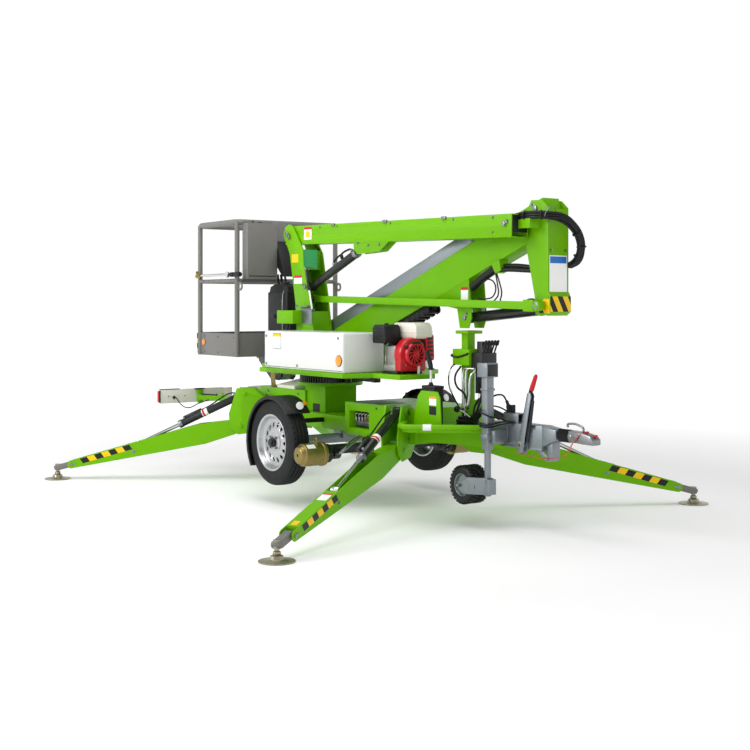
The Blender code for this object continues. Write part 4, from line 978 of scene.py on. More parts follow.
# %% [markdown]
# Pins get what holds them: a keeper plate with one bolt on each pin end, and hexagon heads elsewhere.
# The gas strut beside the cheek has a black tube and a bright rod between two ball ends.

# %% Pin keepers, bolts and the gas strut of the tower
def keeper(name, body_name, pin, y, out, size=1.0, turn=0.0):
    """A pin head with its keeper plate and bolt, on a face at y that looks along out."""
    x, z = pin
    step = 0.036 * size
    parts = [disc("pin_head", (x, y - out * 0.001, z), (x, y + out * 0.01, z), 0.017 * size, 0.002, 28)]
    tab = (x + step * cos(turn), z + step * sin(turn))
    across = (-sin(turn) * 0.012 * size, cos(turn) * 0.012 * size)
    outline = ((x - across[0], z - across[1]), (tab[0] - across[0], tab[1] - across[1]),
        (tab[0] + across[0], tab[1] + across[1]), (x + across[0], z + across[1]))
    y0, y1 = sorted((y, y + out * 0.004))
    parts.append(side_plate("tab", outline, y0, y1, 0.0008))
    parts.append(bolts("bolt", [(tab[0], y + out * 0.004, tab[1])], (0, out, 0), 0.008 * size))
    return hand_over(merge(name, parts), STEEL, body_name)


P1, K1 = (-0.575, 1.866), (1.8, 1.816)
T1, T2 = (-0.4, 1.39), (1.975, 1.34)
B1, P2 = (-0.33, 1.475), (1.91, 1.905)
keeper("keeper_tower_top", SUPER, P1, -0.228, -1, 1.15, -0.9)
keeper("keeper_tower_lift", SUPER, B1, -0.226, -1, 0.9, 2.6)
keeper("keeper_tie_rear", SUPER, T1, -0.122, -1, 0.9, 0.4)
bolted("tower_bolts", SUPER, [
    (-0.42, -0.2165, 0.96), (-0.42, -0.2165, 1.06), (-0.22, -0.2165, 0.96), (-0.45, -0.2165, 1.26),
    (-0.46, -0.2165, 1.34), (-0.3, -0.2165, 1.34)], (0, -1, 0), 0.009)
hand_over(disc("tower_strut_tube", (-0.3, -0.234, 1.6), (-0.262, -0.234, 1.45), 0.012, 0.002,
    20), BLACK, SUPER)
hand_over(disc("tower_strut_rod", (-0.262, -0.234, 1.45), (-0.222, -0.234, 1.31), 0.006, 0.001,
    16), FILM_WHITE, SUPER)
joined("tower_strut_ends", STEEL, SUPER, [
    disc("ball", (-0.3, -0.216, 1.602), (-0.3, -0.246, 1.602), 0.01, 0.002, 16),
    disc("ball", (-0.222, -0.216, 1.308), (-0.222, -0.246, 1.308), 0.01, 0.002, 16),
])

# %% [markdown]
# The black tank behind the tower is roto-moulded, so its corners are large. A bright pipe runs up its
# near face. The service box beside the cheek has one black knob, and a zinc plate covers its end.

# %% Tank pipe, cap and service controls
hand_over(hose("tank_pipe", [
    (-0.667, -0.2085, 0.96), (-0.667, -0.2085, 1.42), (-0.68, -0.19, 1.45)], 0.005), STEEL, SUPER)
hand_over(turned("tank_cap", (
    (0.001, 1.492), (0.036, 1.492), (0.036, 1.512), (0.03, 1.52),
    (0.001, 1.52)), (-0.76, -0.13, 0), "Z", 32), PLASTIC, SUPER)
joined("service_knobs", PLASTIC, SUPER, [
    disc("rod", (-0.6, -0.27, 1.262), (-0.69, -0.262, 1.262), 0.005, 0.001, 14),
    disc("knob", (-0.68, -0.263, 1.262), (-0.715, -0.26, 1.262), 0.013, 0.004, 20),
])
joined("service_plate", GALVANISED, SUPER, [
    side_plate("plate", (
        (-0.395, 1.21), (-0.25, 1.205), (-0.25, 1.325), (-0.395, 1.335)), -0.2215, -0.2175, 0.001),
    block("flap", (-0.4, -0.262, 1.33), (-0.262, -0.2175, 1.3345), 0.001),
])
bundle("service_hoses", RUBBER, SUPER,
    (0.008, (-0.5, -0.26, 1.21), (-0.5, -0.28, 1.12), (-0.48, -0.25, 1.0), (-0.44, -0.235, 0.91)),
    (0.008, (-0.53, -0.25, 1.21), (-0.54, -0.27, 1.1), (-0.52, -0.24, 0.98), (-0.47, -0.235, 0.91)),
    (0.007, (-0.46, -0.27, 1.21), (-0.455, -0.28, 1.1), (-0.45, -0.255, 1.0), (-0.42, -0.235, 0.91)),
    (0.009, (-0.66, -0.13, 0.93), (-0.6, -0.16, 0.935), (-0.54, -0.22, 0.95), (-0.47, -0.235, 0.93)))

# %% [markdown]
# The booms' pins show as heads with keeper plates. The lower boom also has a row of bolts along its
# near side, a white notice near its root and a cable clip above the cylinder's bracket.

# %% Fittings of the lower boom and the tie bar
BOOM_FACE = -0.2006
boom_way = Vector((K1[0] - P1[0], 0, K1[1] - P1[1])).normalized()


def on_boom(u, v, y):
    """A point of the lower boom, along it from its rear pin and square above its axis."""
    return (P1[0] + boom_way.x * u - boom_way.z * v, y, P1[1] + boom_way.z * u + boom_way.x * v)


def boom_film(name, material, u0, u1, v0, v1, proud=1.0):
    """A film on the lower boom's near side."""
    corners = [(u0, v0), (u1, v0), (u1, v1), (u0, v1)]
    piece = cut_plate(name, corners, FILM * proud, lambda u, v, d: at(*on_boom(u, v, BOOM_FACE - d)), 0.0)
    return hand_over(piece, material, "boom_lower")


boom_film("boom_notice", FILM_WHITE, 0.19, 0.29, -0.045, 0.045)
boom_film("boom_notice_head", FILM_RED, 0.19, 0.29, 0.028, 0.045, 2.0)
boom_film("boom_notice_mark", STRIPE_YELLOW, 0.212, 0.268, -0.03, 0.015, 2.0)
bolted("boom_side_bolts", "boom_lower",
    [
        on_boom(u, v, BOOM_FACE)
        for u, v in ((0.4, 0.04), (0.62, 0.04), (1.25, 0.042), (1.9, 0.042), (2.27, 0.042),
            (2.27, -0.045))], (0, -1, 0), 0.008)
joined("boom_clips", STEEL, "boom_lower", [
    block("clip", (-0.02, -0.212, 1.895), (0.02, -0.196, 1.915), 0.002),
    block("clip", (0.6, -0.212, 1.885), (0.64, -0.196, 1.905), 0.002),
    block("clip", (1.22, -0.212, 1.872), (1.26, -0.196, 1.892), 0.002),
])
bolted("bracket_bolts", "boom_lower",
    [(x, -0.1998, z) for x, z in ((0.3, 1.765), (0.42, 1.745), (0.55, 1.745))], (0, -1, 0), 0.009)
# painted shade: a thin black block across the lower boom's open end stands in for its dark hollow
hand_over(block("boom_end_plug", (1.852, -0.192, 1.765), (1.858, -0.076, 1.865),
    0.004), PLASTIC, "boom_lower")

TIE_NEAR = -0.1183
joined("tie_bar_caps", STEEL, "tie_bar", [
    disc("cap", (T1[0], TIE_NEAR, T1[1]), (T1[0], TIE_NEAR - 0.004, T1[1]), 0.022, 0.001, 28),
    disc("cap", (T2[0], TIE_NEAR, T2[1]), (T2[0], TIE_NEAR - 0.004, T2[1]), 0.022, 0.001, 28),
])
hand_over(side_plate("tie_bar_clevis", (
    (1.868, 1.308), (1.955, 1.306), (1.955, 1.374),
    (1.868, 1.376)), -0.1225, -0.0695, 0.003), ENAMEL, "tie_bar")

# %% [markdown]
# The knuckle carries a blank notice plate on its front face, blue above white, and yellow and black
# bands on its lower edge. Its pins have keepers too.

# %% Notice plate, hazard bands and pins of the knuckle
film("knuckle_notice", FILM_WHITE, "knuckle", (2.0162, -0.05, 1.415), (2.0172, 0.088, 1.63))
film("knuckle_notice_head", FILM_BLUE, "knuckle", (2.0168, -0.045, 1.585), (2.0177, 0.083, 1.624))
KN_NEAR, KN_FAR = -0.061, 0.101
SLOPE_FACE = ((2.0345, 1.394), (2.0365, 1.306))
BAND_WIDTH, BAND_LEAN = 0.0405, 0.045
groups = {0: [], 1: []}
low_x, high_x = SLOPE_FACE[1][0] + 0.0004, SLOPE_FACE[0][0] + 0.0004


def clipped(points, low, high):
    """Cuts an outline off where its first number leaves the range."""
    for limit, sign in ((low, 1), (high, -1)):
        kept = []
        for start, end in zip(points, points[1:] + points[:1]):
            inside, next_inside = sign * (start[0] - limit) >= 0, sign * (end[0] - limit) >= 0
            if inside:
                kept.append(start)
            if inside != next_inside:
                share = (limit - start[0]) / (end[0] - start[0])
                kept.append((limit, start[1] + share * (end[1] - start[1])))
        points = kept
    return points


def on_front(u, v, d):
    return at(low_x + (high_x - low_x) * v + d, u, 1.306 + 0.088 * v)


for k in range(6):
    y0 = KN_NEAR + BAND_WIDTH * (k - 0.5)
    band = clipped([
        (y0, 0.0), (y0 + BAND_WIDTH, 0.0), (y0 + BAND_WIDTH - BAND_LEAN, 1.0),
        (y0 - BAND_LEAN, 1.0)], KN_NEAR, KN_FAR)
    if len(band) > 2:
        groups[(k + 1) % 2].append(cut_plate("band", band, 0.0006, on_front, 0.0))
side_bands = (((1.945, 1.297), (1.985, 1.297), (1.96, 1.345), (1.945, 1.345)),
    ((1.985, 1.297), (2.03, 1.297), (2.028, 1.38), (1.98, 1.38), (1.96, 1.345)))
for k, outline in enumerate(side_bands):
    groups[k].append(side_plate("band", outline, KN_NEAR - FILM, KN_NEAR + 0.001, 0.0))
hand_over(merge("knuckle_bands_black", groups[0]), STRIPE_BLACK, "knuckle")
hand_over(merge("knuckle_bands_yellow", groups[1]), STRIPE_YELLOW, "knuckle")
keeper("keeper_knuckle_top", "knuckle", P2, KN_NEAR + 0.001, -1, 1.0, 2.4)
keeper("keeper_knuckle_top_far", "knuckle", P2, KN_FAR + 0.005, 1, 1.0, 2.4)
keeper("keeper_boom_front", "boom_lower", K1, -0.2045, -1, 0.9, 0.6)
bolted("knuckle_bolts", "knuckle", [(2.0165, y, z) for y in (-0.035, 0.075) for z in (1.66, 1.86)],
    (1, 0, 0), 0.009)

# %% [markdown]
# A bundle of black hoses leaves the lower boom's open end, loops outside the knuckle and goes back
# into the upper boom. Each hose follows the same route, a little beside the last. Ties hold them.

# %% The hose loop at the knuckle
def knuckle_hose(k):
    """One hose of the bundle; k moves it within the bundle."""
    up, out = 0.015 * (k % 3) - 0.015, 0.014 * (k // 3)
    return [(1.78, -0.128 - out, 1.848 + up), (1.88, -0.124 - out, 1.86 + up),
        (1.97 + out, -0.118 - out, 1.862 + up), (2.04 + out, -0.075 - out, 1.856 + up),
        (2.078 + out, -0.01, 1.832 + 0.8 * up + out), (2.09 + out, 0.062, 1.785 + up + out),
        (2.09 + out, 0.112 + up, 1.722 + out), (2.078 + out, 0.132 + up, 1.66),
        (2.05 + out, 0.128 + up, 1.608 - out), (2.008, 0.114 + up, 1.578 - out)]


joined("knuckle_hoses", RUBBER, "knuckle", [hose("hose", knuckle_hose(k), 0.0085) for k in range(6)])
ties = []
for spot, way in (((1.905, -0.13, 1.861), (1, 0.05, 0)), ((2.012, -0.107, 1.86), (1, 0.7, 0)),
                  ((2.098, 0.088, 1.757), (0, 0.6, -0.8)), ((2.092, 0.13, 1.68), (-0.1, 0.2, -1)),
                  ((2.066, 0.13, 1.625), (-0.5, 0, -1))):
    step = Vector(way).normalized() * 0.004
    middle = Vector(spot)
    ties.append(disc("tie", tuple(middle - step), tuple(middle + step), 0.029))
hand_over(merge("knuckle_hose_ties", ties), PLASTIC, "knuckle")
hand_over(hose("knuckle_hose_ring",
    [
        (2.045 + 0.018 * sin(t), -0.07 + 0.04 * cos(t), 1.862 + 0.042 * sin(t))
        for t in [tau * k / 24 for k in range(25)]], 0.0022, False), STEEL, "knuckle")

# %% [markdown]
# The upper boom has its lift cylinder below it, a lug with a notice, and an energy chain under its
# belly. Chain links are small plates on both sides joined by bars: one link is built and repeated.

# %% Energy chain under the upper boom
SLOPE = radians(20.15)
V_LOW, CHAIN_H, CHAIN_FROM, CHAIN_TO, LINKS = -0.1585, 0.053, 1.185, 2.095, 16
chain_low, chain_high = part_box("hose_carrier")


def on_upper(u, v, y):
    """A point of the upper boom, from its pin towards the basket and square above its axis."""
    return (P2[0] - cos(SLOPE) * u - sin(SLOPE) * v, y, P2[1] - sin(SLOPE) * u + cos(SLOPE) * v)


def upper_plate(name, outline, y0, y1, soft=0.001):
    return cut_plate(name, outline, y1 - y0, lambda u, v, d: at(*on_upper(u, v, y0 + d)), soft)

pitch = (CHAIN_TO - CHAIN_FROM) / LINKS
links = []
for k in range(LINKS):
    u0 = CHAIN_FROM + k * pitch
    sides = ((u0, -0.012), (u0 + 0.01, -0.001), (u0 + pitch - 0.01, -0.001), (u0 + pitch - 0.002, -0.012),
        (u0 + pitch - 0.002, -0.04), (u0 + pitch - 0.012, -CHAIN_H), (u0 + 0.012, -CHAIN_H), (u0, -0.04))
    outline = [(u, V_LOW + v) for u, v in sides]
    links.append(upper_plate("plate", outline, chain_low.y, chain_low.y + 0.007))
    links.append(upper_plate("plate", outline, chain_high.y - 0.007, chain_high.y))
    bar_from = (u0 + 0.018, V_LOW - CHAIN_H + 0.002)
    bar_to = (u0 + pitch - 0.018, V_LOW - CHAIN_H + 0.008)
    cross = ((bar_from[0], bar_from[1]), (bar_to[0], bar_from[1]), (bar_to[0], bar_to[1]),
        (bar_from[0], bar_to[1]))
    links.append(upper_plate("bar", cross, chain_low.y + 0.004, chain_high.y - 0.004, 0.0005))
for y in (0.0, 0.02, 0.04):
    links.append(hose("hose", [
        on_upper(CHAIN_FROM + 0.01, V_LOW - 0.026, y),
        on_upper(CHAIN_TO - 0.01, V_LOW - 0.026, y),
    ], 0.008, False))
hand_over(merge("energy_chain", links), PLASTIC, "boom_upper", "hose_carrier")
print("chain links:", LINKS)

# %% [markdown]
# Where the hoses enter the upper boom they pass through a rubber sleeve and a clamp. The lug of the
# lift cylinder has its pin keeper and a notice, and the cylinder's barrel a gland and two ports.

# %% Hoses, lug and cylinders of the upper boom
UPPER_NEAR = -0.0456
film("lug_notice", FILM_WHITE, "boom_upper", (1.214, UPPER_NEAR - FILM, 1.376),
    (1.283, UPPER_NEAR + 0.001, 1.457))
film("lug_mark", FILM_RED, "boom_upper", (1.214, UPPER_NEAR - 2 * FILM, 1.438), (1.283, UPPER_NEAR, 1.457))
keeper("keeper_upper_lift", "boom_upper", (1.25, 1.265), -0.0445, -1, 0.9, 1.0)
bundle("upper_hoses", RUBBER, "boom_upper",
    (0.026, on_upper(0.44, -0.188, -0.03), on_upper(0.56, -0.196, -0.034), on_upper(0.72, -0.216, -0.03)),
    (0.014, (1.56, -0.02, 1.576), (1.66, -0.022, 1.58), (1.78, -0.02, 1.572), (1.86, -0.01, 1.56)),
    (0.014, (1.56, -0.04, 1.556), (1.66, -0.042, 1.556), (1.78, -0.038, 1.55), (1.86, -0.02, 1.545)),
    (0.01, on_upper(0.7, -0.216, -0.03), on_upper(0.9, -0.206, -0.02), on_upper(1.19, -0.184, 0.0)),
    (0.0045, (1.556, -0.05, 1.54), (1.59, -0.052, 1.47), (1.606, -0.052, 1.417), (1.59, -0.05, 1.372)),
    (0.0045, (1.548, -0.05, 1.538), (1.572, -0.056, 1.47), (1.58, -0.056, 1.41), (1.53, -0.05, 1.366)),
    (0.0045, (1.42, -0.05, 1.48), (1.5, -0.056, 1.5), (1.556, -0.058, 1.46), (1.54, -0.056, 1.405),
        (1.46, -0.05, 1.382), (1.38, -0.045, 1.384)))
hand_over(upper_plate("upper_hose_clamp", (
    (0.405, -0.225), (0.46, -0.225), (0.475, -0.1585), (0.4, -0.1585)), -0.06, 0.01), ENAMEL, "boom_upper")


def ram_dress(name, body_name, start, end, y, length, radius, base=0.1):
    """Gland nut and ports on a lift cylinder's barrel, which runs from start towards end."""
    way = Vector((end[0] - start[0], 0, end[1] - start[1])).normalized()
    up = Vector((-way.z, 0, way.x))

    def spot(distance, lift):
        return (start[0] + way.x * distance + up.x * lift, y, start[1] + way.z * distance + up.z * lift)

    joined(name + "_fittings", STEEL, body_name, [
        disc("gland", spot(length - 0.03, 0), spot(length + 0.004, 0), radius + 0.004, 0.002, 12),
        disc("port", spot(length - 0.06, radius - 0.004), spot(length - 0.06, radius + 0.02), 0.011, 0.001,
            6),
        disc("port", spot(base, radius - 0.004), spot(base, radius + 0.02), 0.011, 0.001, 6),
    ])
    hand_over(hose(name + "_line", [
        spot(length - 0.06, radius + 0.018),
        spot(length - 0.09, radius + 0.032),
        spot(length - 0.2, radius + 0.016),
        spot(base + 0.12, radius + 0.014),
        spot(base + 0.02, radius + 0.03),
        spot(base, radius + 0.018),
    ], 0.007), RUBBER, body_name)


R1, L2, KB = (0.3, 1.725), (1.25, 1.265), (1.95, 1.325)
EYE_ROOM = 0.0577
LIFT1_SPAN = dist(B1, R1) - EYE_ROOM
LIFT2_SPAN = dist(L2, KB) - EYE_ROOM
lift1_low, lift1_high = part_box("lift_lower_barrel")
lift2_low, lift2_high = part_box("lift_upper_barrel")
ram_dress("lower_lift", "lift_lower_barrel", B1, R1, (lift1_low.y + lift1_high.y) / 2, LIFT1_SPAN, 0.03,
    0.32)
ram_dress("upper_lift", "lift_upper_barrel", L2, KB, (lift2_low.y + lift2_high.y) / 2, LIFT2_SPAN, 0.034)

# %% [markdown]
# The basket is welded from tube: a hand rail bent into one loop, four posts and mid rails. The loop
# is built as a path with filleted corners. Toe boards are folded sheet, and the floor is ribbed plate.

# %% Basket tubes with bent corners
REAR_X, FRONT_X, RIGHT_Y, LEFT_Y = -1.62, -1.02, -0.4, 0.49
FLOOR_Z, TOE_Z, MID_Z, TOP_Z, TUBE_R = 0.95, 1.13, 1.53, 1.995, 0.019


def bent_tube(name, corners, radius, bend=0.06):
    """A tube through corner points with each inner corner bent round."""
    points = [Vector(p) for p in corners]
    path = [points[0]]
    for before, corner, after in zip(points, points[1:], points[2:]):
        into, out = (corner - before).normalized(), (after - corner).normalized()
        for step in range(7):
            share = step / 6
            start, end = corner - into * bend, corner + out * bend
            path.append(start.lerp(corner, share).lerp(corner.lerp(end, share), share))
    path.append(points[-1])
    return hose(name, [tuple(p) for p in path], radius, False, 4)


HAND_R, OUT = 0.0225, 0.006
RAIL_Z = TOP_Z - HAND_R
rear, front, right_side, left_side = REAR_X - OUT, FRONT_X + OUT, RIGHT_Y - OUT, LEFT_Y + OUT
middle_x = (rear + front) / 2
tubes = [bent_tube("hand_rail", [
    (middle_x, right_side, RAIL_Z), (front, right_side, RAIL_Z), (front, left_side, RAIL_Z),
    (rear, left_side, RAIL_Z), (rear, right_side, RAIL_Z), (middle_x, right_side, RAIL_Z),
], HAND_R)]
for y in (RIGHT_Y, LEFT_Y):
    for x in (REAR_X, FRONT_X):
        tubes.append(hose("post", [(x, y, FLOOR_Z), (x, y, RAIL_Z)], TUBE_R, False, 4))
    tubes.append(turned("ring_lug", [
        (0.019, -0.004), (0.034, -0.004), (0.034, 0.004),
        (0.019, 0.004)], (FRONT_X + 0.048, y, 1.487), "Y", 32))
for x in (REAR_X, FRONT_X):
    tubes.append(hose("rail", [(x, RIGHT_Y, MID_Z), (x, LEFT_Y, MID_Z)], TUBE_R - 0.003, False, 4))
for y in (RIGHT_Y, LEFT_Y):
    tubes.append(hose("rail", [(REAR_X, y, MID_Z), (FRONT_X, y, MID_Z)], TUBE_R - 0.004, False, 4))
hand_over(merge("basket_tubes", tubes), GREY, "basket", "basket_frame")

# %% [markdown]
# Floor and toe boards: a folded lip along the top of each board, and round buttons pressed into the
# floor for grip. The rear corner carries the yellow and black strip, and the board an amber reflector.

# %% Floor, toe boards and their films
boards = [block("floor", (REAR_X, RIGHT_Y, FLOOR_Z), (FRONT_X, LEFT_Y, FLOOR_Z + 0.006), 0.002)]
for low, high in (
    ((REAR_X - 0.003, RIGHT_Y, FLOOR_Z), (REAR_X + 0.003, LEFT_Y, TOE_Z)),
    ((FRONT_X - 0.003, RIGHT_Y, FLOOR_Z), (FRONT_X + 0.003, LEFT_Y, TOE_Z)),
    ((REAR_X, RIGHT_Y - 0.003, FLOOR_Z), (FRONT_X, RIGHT_Y + 0.003, TOE_Z)),
    ((REAR_X, LEFT_Y - 0.003, FLOOR_Z), (FRONT_X, LEFT_Y + 0.003, TOE_Z)),
):
    boards.append(block("board", low, high, 0.001))
boards.append(block("lip", (REAR_X, RIGHT_Y - 0.003, TOE_Z - 0.004), (FRONT_X, RIGHT_Y + 0.018, TOE_Z),
    0.001))
boards.append(block("lip", (REAR_X - 0.003, RIGHT_Y, TOE_Z - 0.004), (REAR_X + 0.018, LEFT_Y, TOE_Z),
    0.001))
for y in (-0.3, 0.4):
    boards.append(block("runner", (REAR_X + 0.03, y, FLOOR_Z + 0.004),
        (FRONT_X - 0.03, y + 0.04, FLOOR_Z + 0.018), 0.002))
for row in range(5):
    for column in range(7):
        spot = (REAR_X + 0.09 + 0.105 * row, RIGHT_Y + 0.14 + 0.105 * column)
        boards.append(disc("button", (*spot, FLOOR_Z + 0.004), (*spot, FLOOR_Z + 0.01), 0.016, 0.002, 12,
            0.7))
hand_over(merge("basket_boards", boards), GREY, "basket", "basket_frame")
strips = {0: [], 1: []}
for k in range(4):
    z = 0.962 + 0.04 * k
    strips[k % 2].append(block("strip", (REAR_X - 0.02, RIGHT_Y - 0.0195, z),
        (REAR_X - 0.008, RIGHT_Y - 0.01, z + 0.04), 0.0))
hand_over(merge("basket_strip_yellow", strips[0]), STRIPE_YELLOW, "basket")
hand_over(merge("basket_strip_black", strips[1]), STRIPE_BLACK, "basket")
hand_over(disc("basket_reflector", (REAR_X + 0.066, RIGHT_Y - 0.003, 1.052),
    (REAR_X + 0.066, RIGHT_Y - 0.009, 1.052), 0.023, 0.002, 28), AMBER, "basket")
bolted("basket_board_bolts", "basket",
    [(x, RIGHT_Y - 0.003, z) for x in (REAR_X + 0.08, -1.32, FRONT_X - 0.05) for z in (0.975, 1.1)],
    (0, -1, 0), 0.007)

# %% [markdown]
# The drop bar has a plated latch at one end and rests between black rubber stops. The console in
# front of the rail gets its folded lip, screws, a joystick and its hoses. A lug is a ring to clip to.

# %% Gate and console
GATE_Y, GATE_Z = RIGHT_Y - 0.052, 1.575
joined("gate_bar", CHROME, "basket_gate", [
    disc("bar", (REAR_X + 0.03, GATE_Y, GATE_Z), (FRONT_X - 0.06, GATE_Y, GATE_Z), 0.01, 0.001),
    disc("eye", (FRONT_X - 0.06, GATE_Y - 0.011, GATE_Z), (FRONT_X - 0.06, GATE_Y + 0.0105, GATE_Z), 0.022,
        0.002, 28),
], "basket_gate")
joined("gate_stops", RUBBER, "basket", [
    disc("stop", (FRONT_X - 0.036, RIGHT_Y - 0.034, GATE_Z), (FRONT_X + 0.018, RIGHT_Y - 0.034, GATE_Z),
        0.018, 0.003, 20),
    disc("stop", (FRONT_X + 0.03, RIGHT_Y - 0.034, GATE_Z), (FRONT_X + 0.11, RIGHT_Y - 0.034, GATE_Z),
        0.018, 0.003, 20),
])
joined("gate_latch", PASSIVATED, "basket_gate", [
    block("plate", (REAR_X + 0.05, GATE_Y - 0.014, GATE_Z - 0.02),
        (REAR_X + 0.082, GATE_Y + 0.012, GATE_Z + 0.018), 0.004),
    disc("catch", (REAR_X + 0.04, GATE_Y, GATE_Z + 0.03), (REAR_X + 0.095, GATE_Y, GATE_Z - 0.024), 0.011,
        0.003, 16),
    disc("catch", (REAR_X + 0.035, GATE_Y, GATE_Z - 0.004), (REAR_X + 0.11, GATE_Y, GATE_Z + 0.004), 0.014,
        0.003, 16),
])
CONSOLE_FRONT = -0.9205
joined("console_controls", PLASTIC, "basket", [
    disc("stick", (-0.955, -0.3, 1.96), (-0.955, -0.3, 1.985), 0.005, 0.001, 12),
    disc("boot", (-0.955, -0.24, 1.96), (-0.955, -0.24, 1.976), 0.018, 0.004, 20, 0.5),
    block("edge", (CONSOLE_FRONT, -0.352, 1.56), (CONSOLE_FRONT + 0.003, -0.118, 1.566), 0.001),
])
hand_over(bolts("console_screws", [(CONSOLE_FRONT, y, z) for y in (-0.345, -0.125) for z in (1.58, 1.93)],
    (1, 0, 0), 0.005), GREY, "basket")
bundle("console_lines", RUBBER, "basket",
    (0.01, (-0.96, -0.08, 1.58), (-0.955, -0.06, 1.4), (-0.99, -0.03, 1.1), (-1.06, -0.01, 0.955)),
    (0.01, (-0.96, -0.05, 1.58), (-0.945, -0.03, 1.38), (-0.985, 0.0, 1.1), (-1.06, 0.02, 0.955)),
    (0.008, (-0.96, -0.02, 1.6), (-0.94, 0.0, 1.4), (-0.982, 0.03, 1.12), (-1.06, 0.05, 0.955)))
bolted("bracket_bolts_basket", "basket", [(-1.02 - 0.055 * k, -0.0495, 0.9 + 0.004 * k) for k in range(4)],
    (0, -1, 0), 0.008)

# %% [markdown]
# The overrun coupling pushes back on a damper when the towing car slows down. Its housing is folded
# from galvanised plate, the tube slides in a rubber bellows, and the head is a casting. The bellows is
# a zigzag of radii, spun as if on a lathe.

# %% Overrun coupling
HITCH_Z, HITCH_HALF = 0.6, 0.045
BRACKET = ((1.86, 0.505), (1.905, 0.519), (1.992, 0.462), (1.98, 0.44))
joined("coupling_housing", GALVANISED, "chassis", [
    side_plate("housing", (
        (1.5, 0.586), (1.601, 0.586), (1.601, 0.5), (1.95, 0.5), (1.95, 0.645),
        (1.5, 0.645)), -HITCH_HALF, HITCH_HALF, 0.004),
    side_plate("nose", ((1.94, 0.52), (2.06, 0.57), (2.06, 0.63), (1.94, 0.645)), -0.043, 0.043, 0.006),
    block("seam", (1.6, -HITCH_HALF - 0.003, 0.5), (1.95, -HITCH_HALF + 0.002, 0.512), 0.001),
    block("seam", (1.6, HITCH_HALF - 0.002, 0.5), (1.95, HITCH_HALF + 0.003, 0.512), 0.001),
    side_plate("bracket", BRACKET, -0.03, -0.026, 0.001),
    side_plate("bracket", BRACKET, 0.026, 0.03, 0.001),
    side_plate("bracket", ((1.978, 0.54), (2.02, 0.557), (2.02, 0.45), (1.98, 0.44)), -0.03, 0.03, 0.002),
    block("jack_clamp", (1.612, -0.058, 0.556), (1.664, -0.044, 0.63)),
    disc("brake_pin", (1.8, -0.086, 0.525), (1.8, 0.0, 0.525), 0.012, 0.001),
    side_plate("quadrant", (
        (1.765, 0.5), (1.775, 0.475), (1.8, 0.468), (1.83, 0.48), (1.842, 0.53), (1.82, 0.57),
        (1.785, 0.568)), -0.0535, -0.0485, 0.001),
], "overrun_coupling")
joined("coupling_head", STEEL, "chassis", [
    side_plate("head", (
        (2.148, 0.572), (2.255, 0.566), (2.342, 0.565), (2.342, 0.598), (2.318, 0.618), (2.255, 0.63),
        (2.148, 0.635)), -0.034, 0.034, 0.008),
    disc("collar", (2.146, 0, HITCH_Z), (2.176, 0, HITCH_Z), 0.036, 0.004, 32),
    disc("slide", (2.04, 0, HITCH_Z), (2.2, 0, HITCH_Z), 0.024, 0.001, 28),
    hose("arch", [
        (2.236, 0, 0.622), (2.238, 0, 0.652), (2.215, 0, 0.664), (2.135, 0, 0.671), (2.112, 0, 0.662),
        (2.118, 0, 0.65)], 0.0065),
    disc("latch_pin", (2.235, -0.038, 0.615), (2.235, 0.038, 0.615), 0.009, 0.001, 16),
], "overrun_coupling")
FOLDS, BELLOWS_FROM, BELLOWS_TO = 6, 2.045, 2.15
fold = (BELLOWS_TO - BELLOWS_FROM) / (2 * FOLDS)
ripple = [(0.038 if k % 2 else 0.03, k * fold) for k in range(2 * FOLDS + 1)]
hand_over(turned("coupling_bellows", [(0.022, 0.0), *ripple, (0.022, 2 * FOLDS * fold)],
    (BELLOWS_FROM, 0, HITCH_Z), "X", 40, 70), RUBBER, "chassis", "overrun_coupling")
hand_over(bolts("coupling_bolts", [(1.638, -0.058, 0.592), (1.8, -0.086, 0.525)], (0, -1, 0),
    0.011), PASSIVATED, "chassis")
bolted("coupling_far_bolts", "chassis", [(x, HITCH_HALF, 0.6) for x in (1.64, 1.76, 1.9)], (0, 1, 0), 0.01)
joined("coupling_signs", RED_GRIP, "chassis", [
    block("wear_mark", (2.256, -0.01, 0.628), (2.274, 0.01, 0.638), 0.002),
    block("wear_mark", (2.322, -0.01, 0.61), (2.341, 0.01, 0.624), 0.002),
    hose("safety_line", [
        (2.262, -0.03, 0.633), (2.2, -0.046, 0.57), (2.15, -0.036, 0.515), (2.131, -0.02, 0.5)], 0.0018),
    hose("safety_line", [
        (1.775, -0.086, 0.48), (1.88, -0.05, 0.462), (2.0, -0.034, 0.462), (2.131, -0.02, 0.5),
        (2.21, -0.04, 0.585), (2.266, -0.024, 0.632)], 0.0018),
])

# %% [markdown]
# The handbrake lever is a folded channel that swings on the brake pin. It ends in a red hand grip over
# a black sleeve, and a gas strut that rides with it pulls the brake on.

# %% Handbrake
lever_body = BODY_OF["handbrake_lever"]
LEVER_NEAR, LEVER_FAR = -0.082, -0.054
flank = ((1.772, 0.49), (1.785, 0.478), (1.812, 0.478), (1.825, 0.49), (1.897, 0.815), (1.887, 0.835),
    (1.862, 0.832))
joined("brake_channel", GALVANISED, lever_body, [
    side_plate("flank", flank, LEVER_NEAR, LEVER_NEAR + 0.003, 0.0008),
    side_plate("flank", flank, LEVER_FAR - 0.003, LEVER_FAR, 0.0008),
    side_plate("web", ((1.773, 0.5), (1.777, 0.5), (1.866, 0.832), (1.862, 0.832)), LEVER_NEAR + 0.001,
        LEVER_FAR - 0.001, 0.0008),
    disc("boss", (1.8, LEVER_NEAR - 0.003, 0.525), (1.8, LEVER_FAR + 0.0003, 0.525), 0.022, 0.001, 28),
], "handbrake_lever")
LEVER_Y = (LEVER_NEAR + LEVER_FAR) / 2
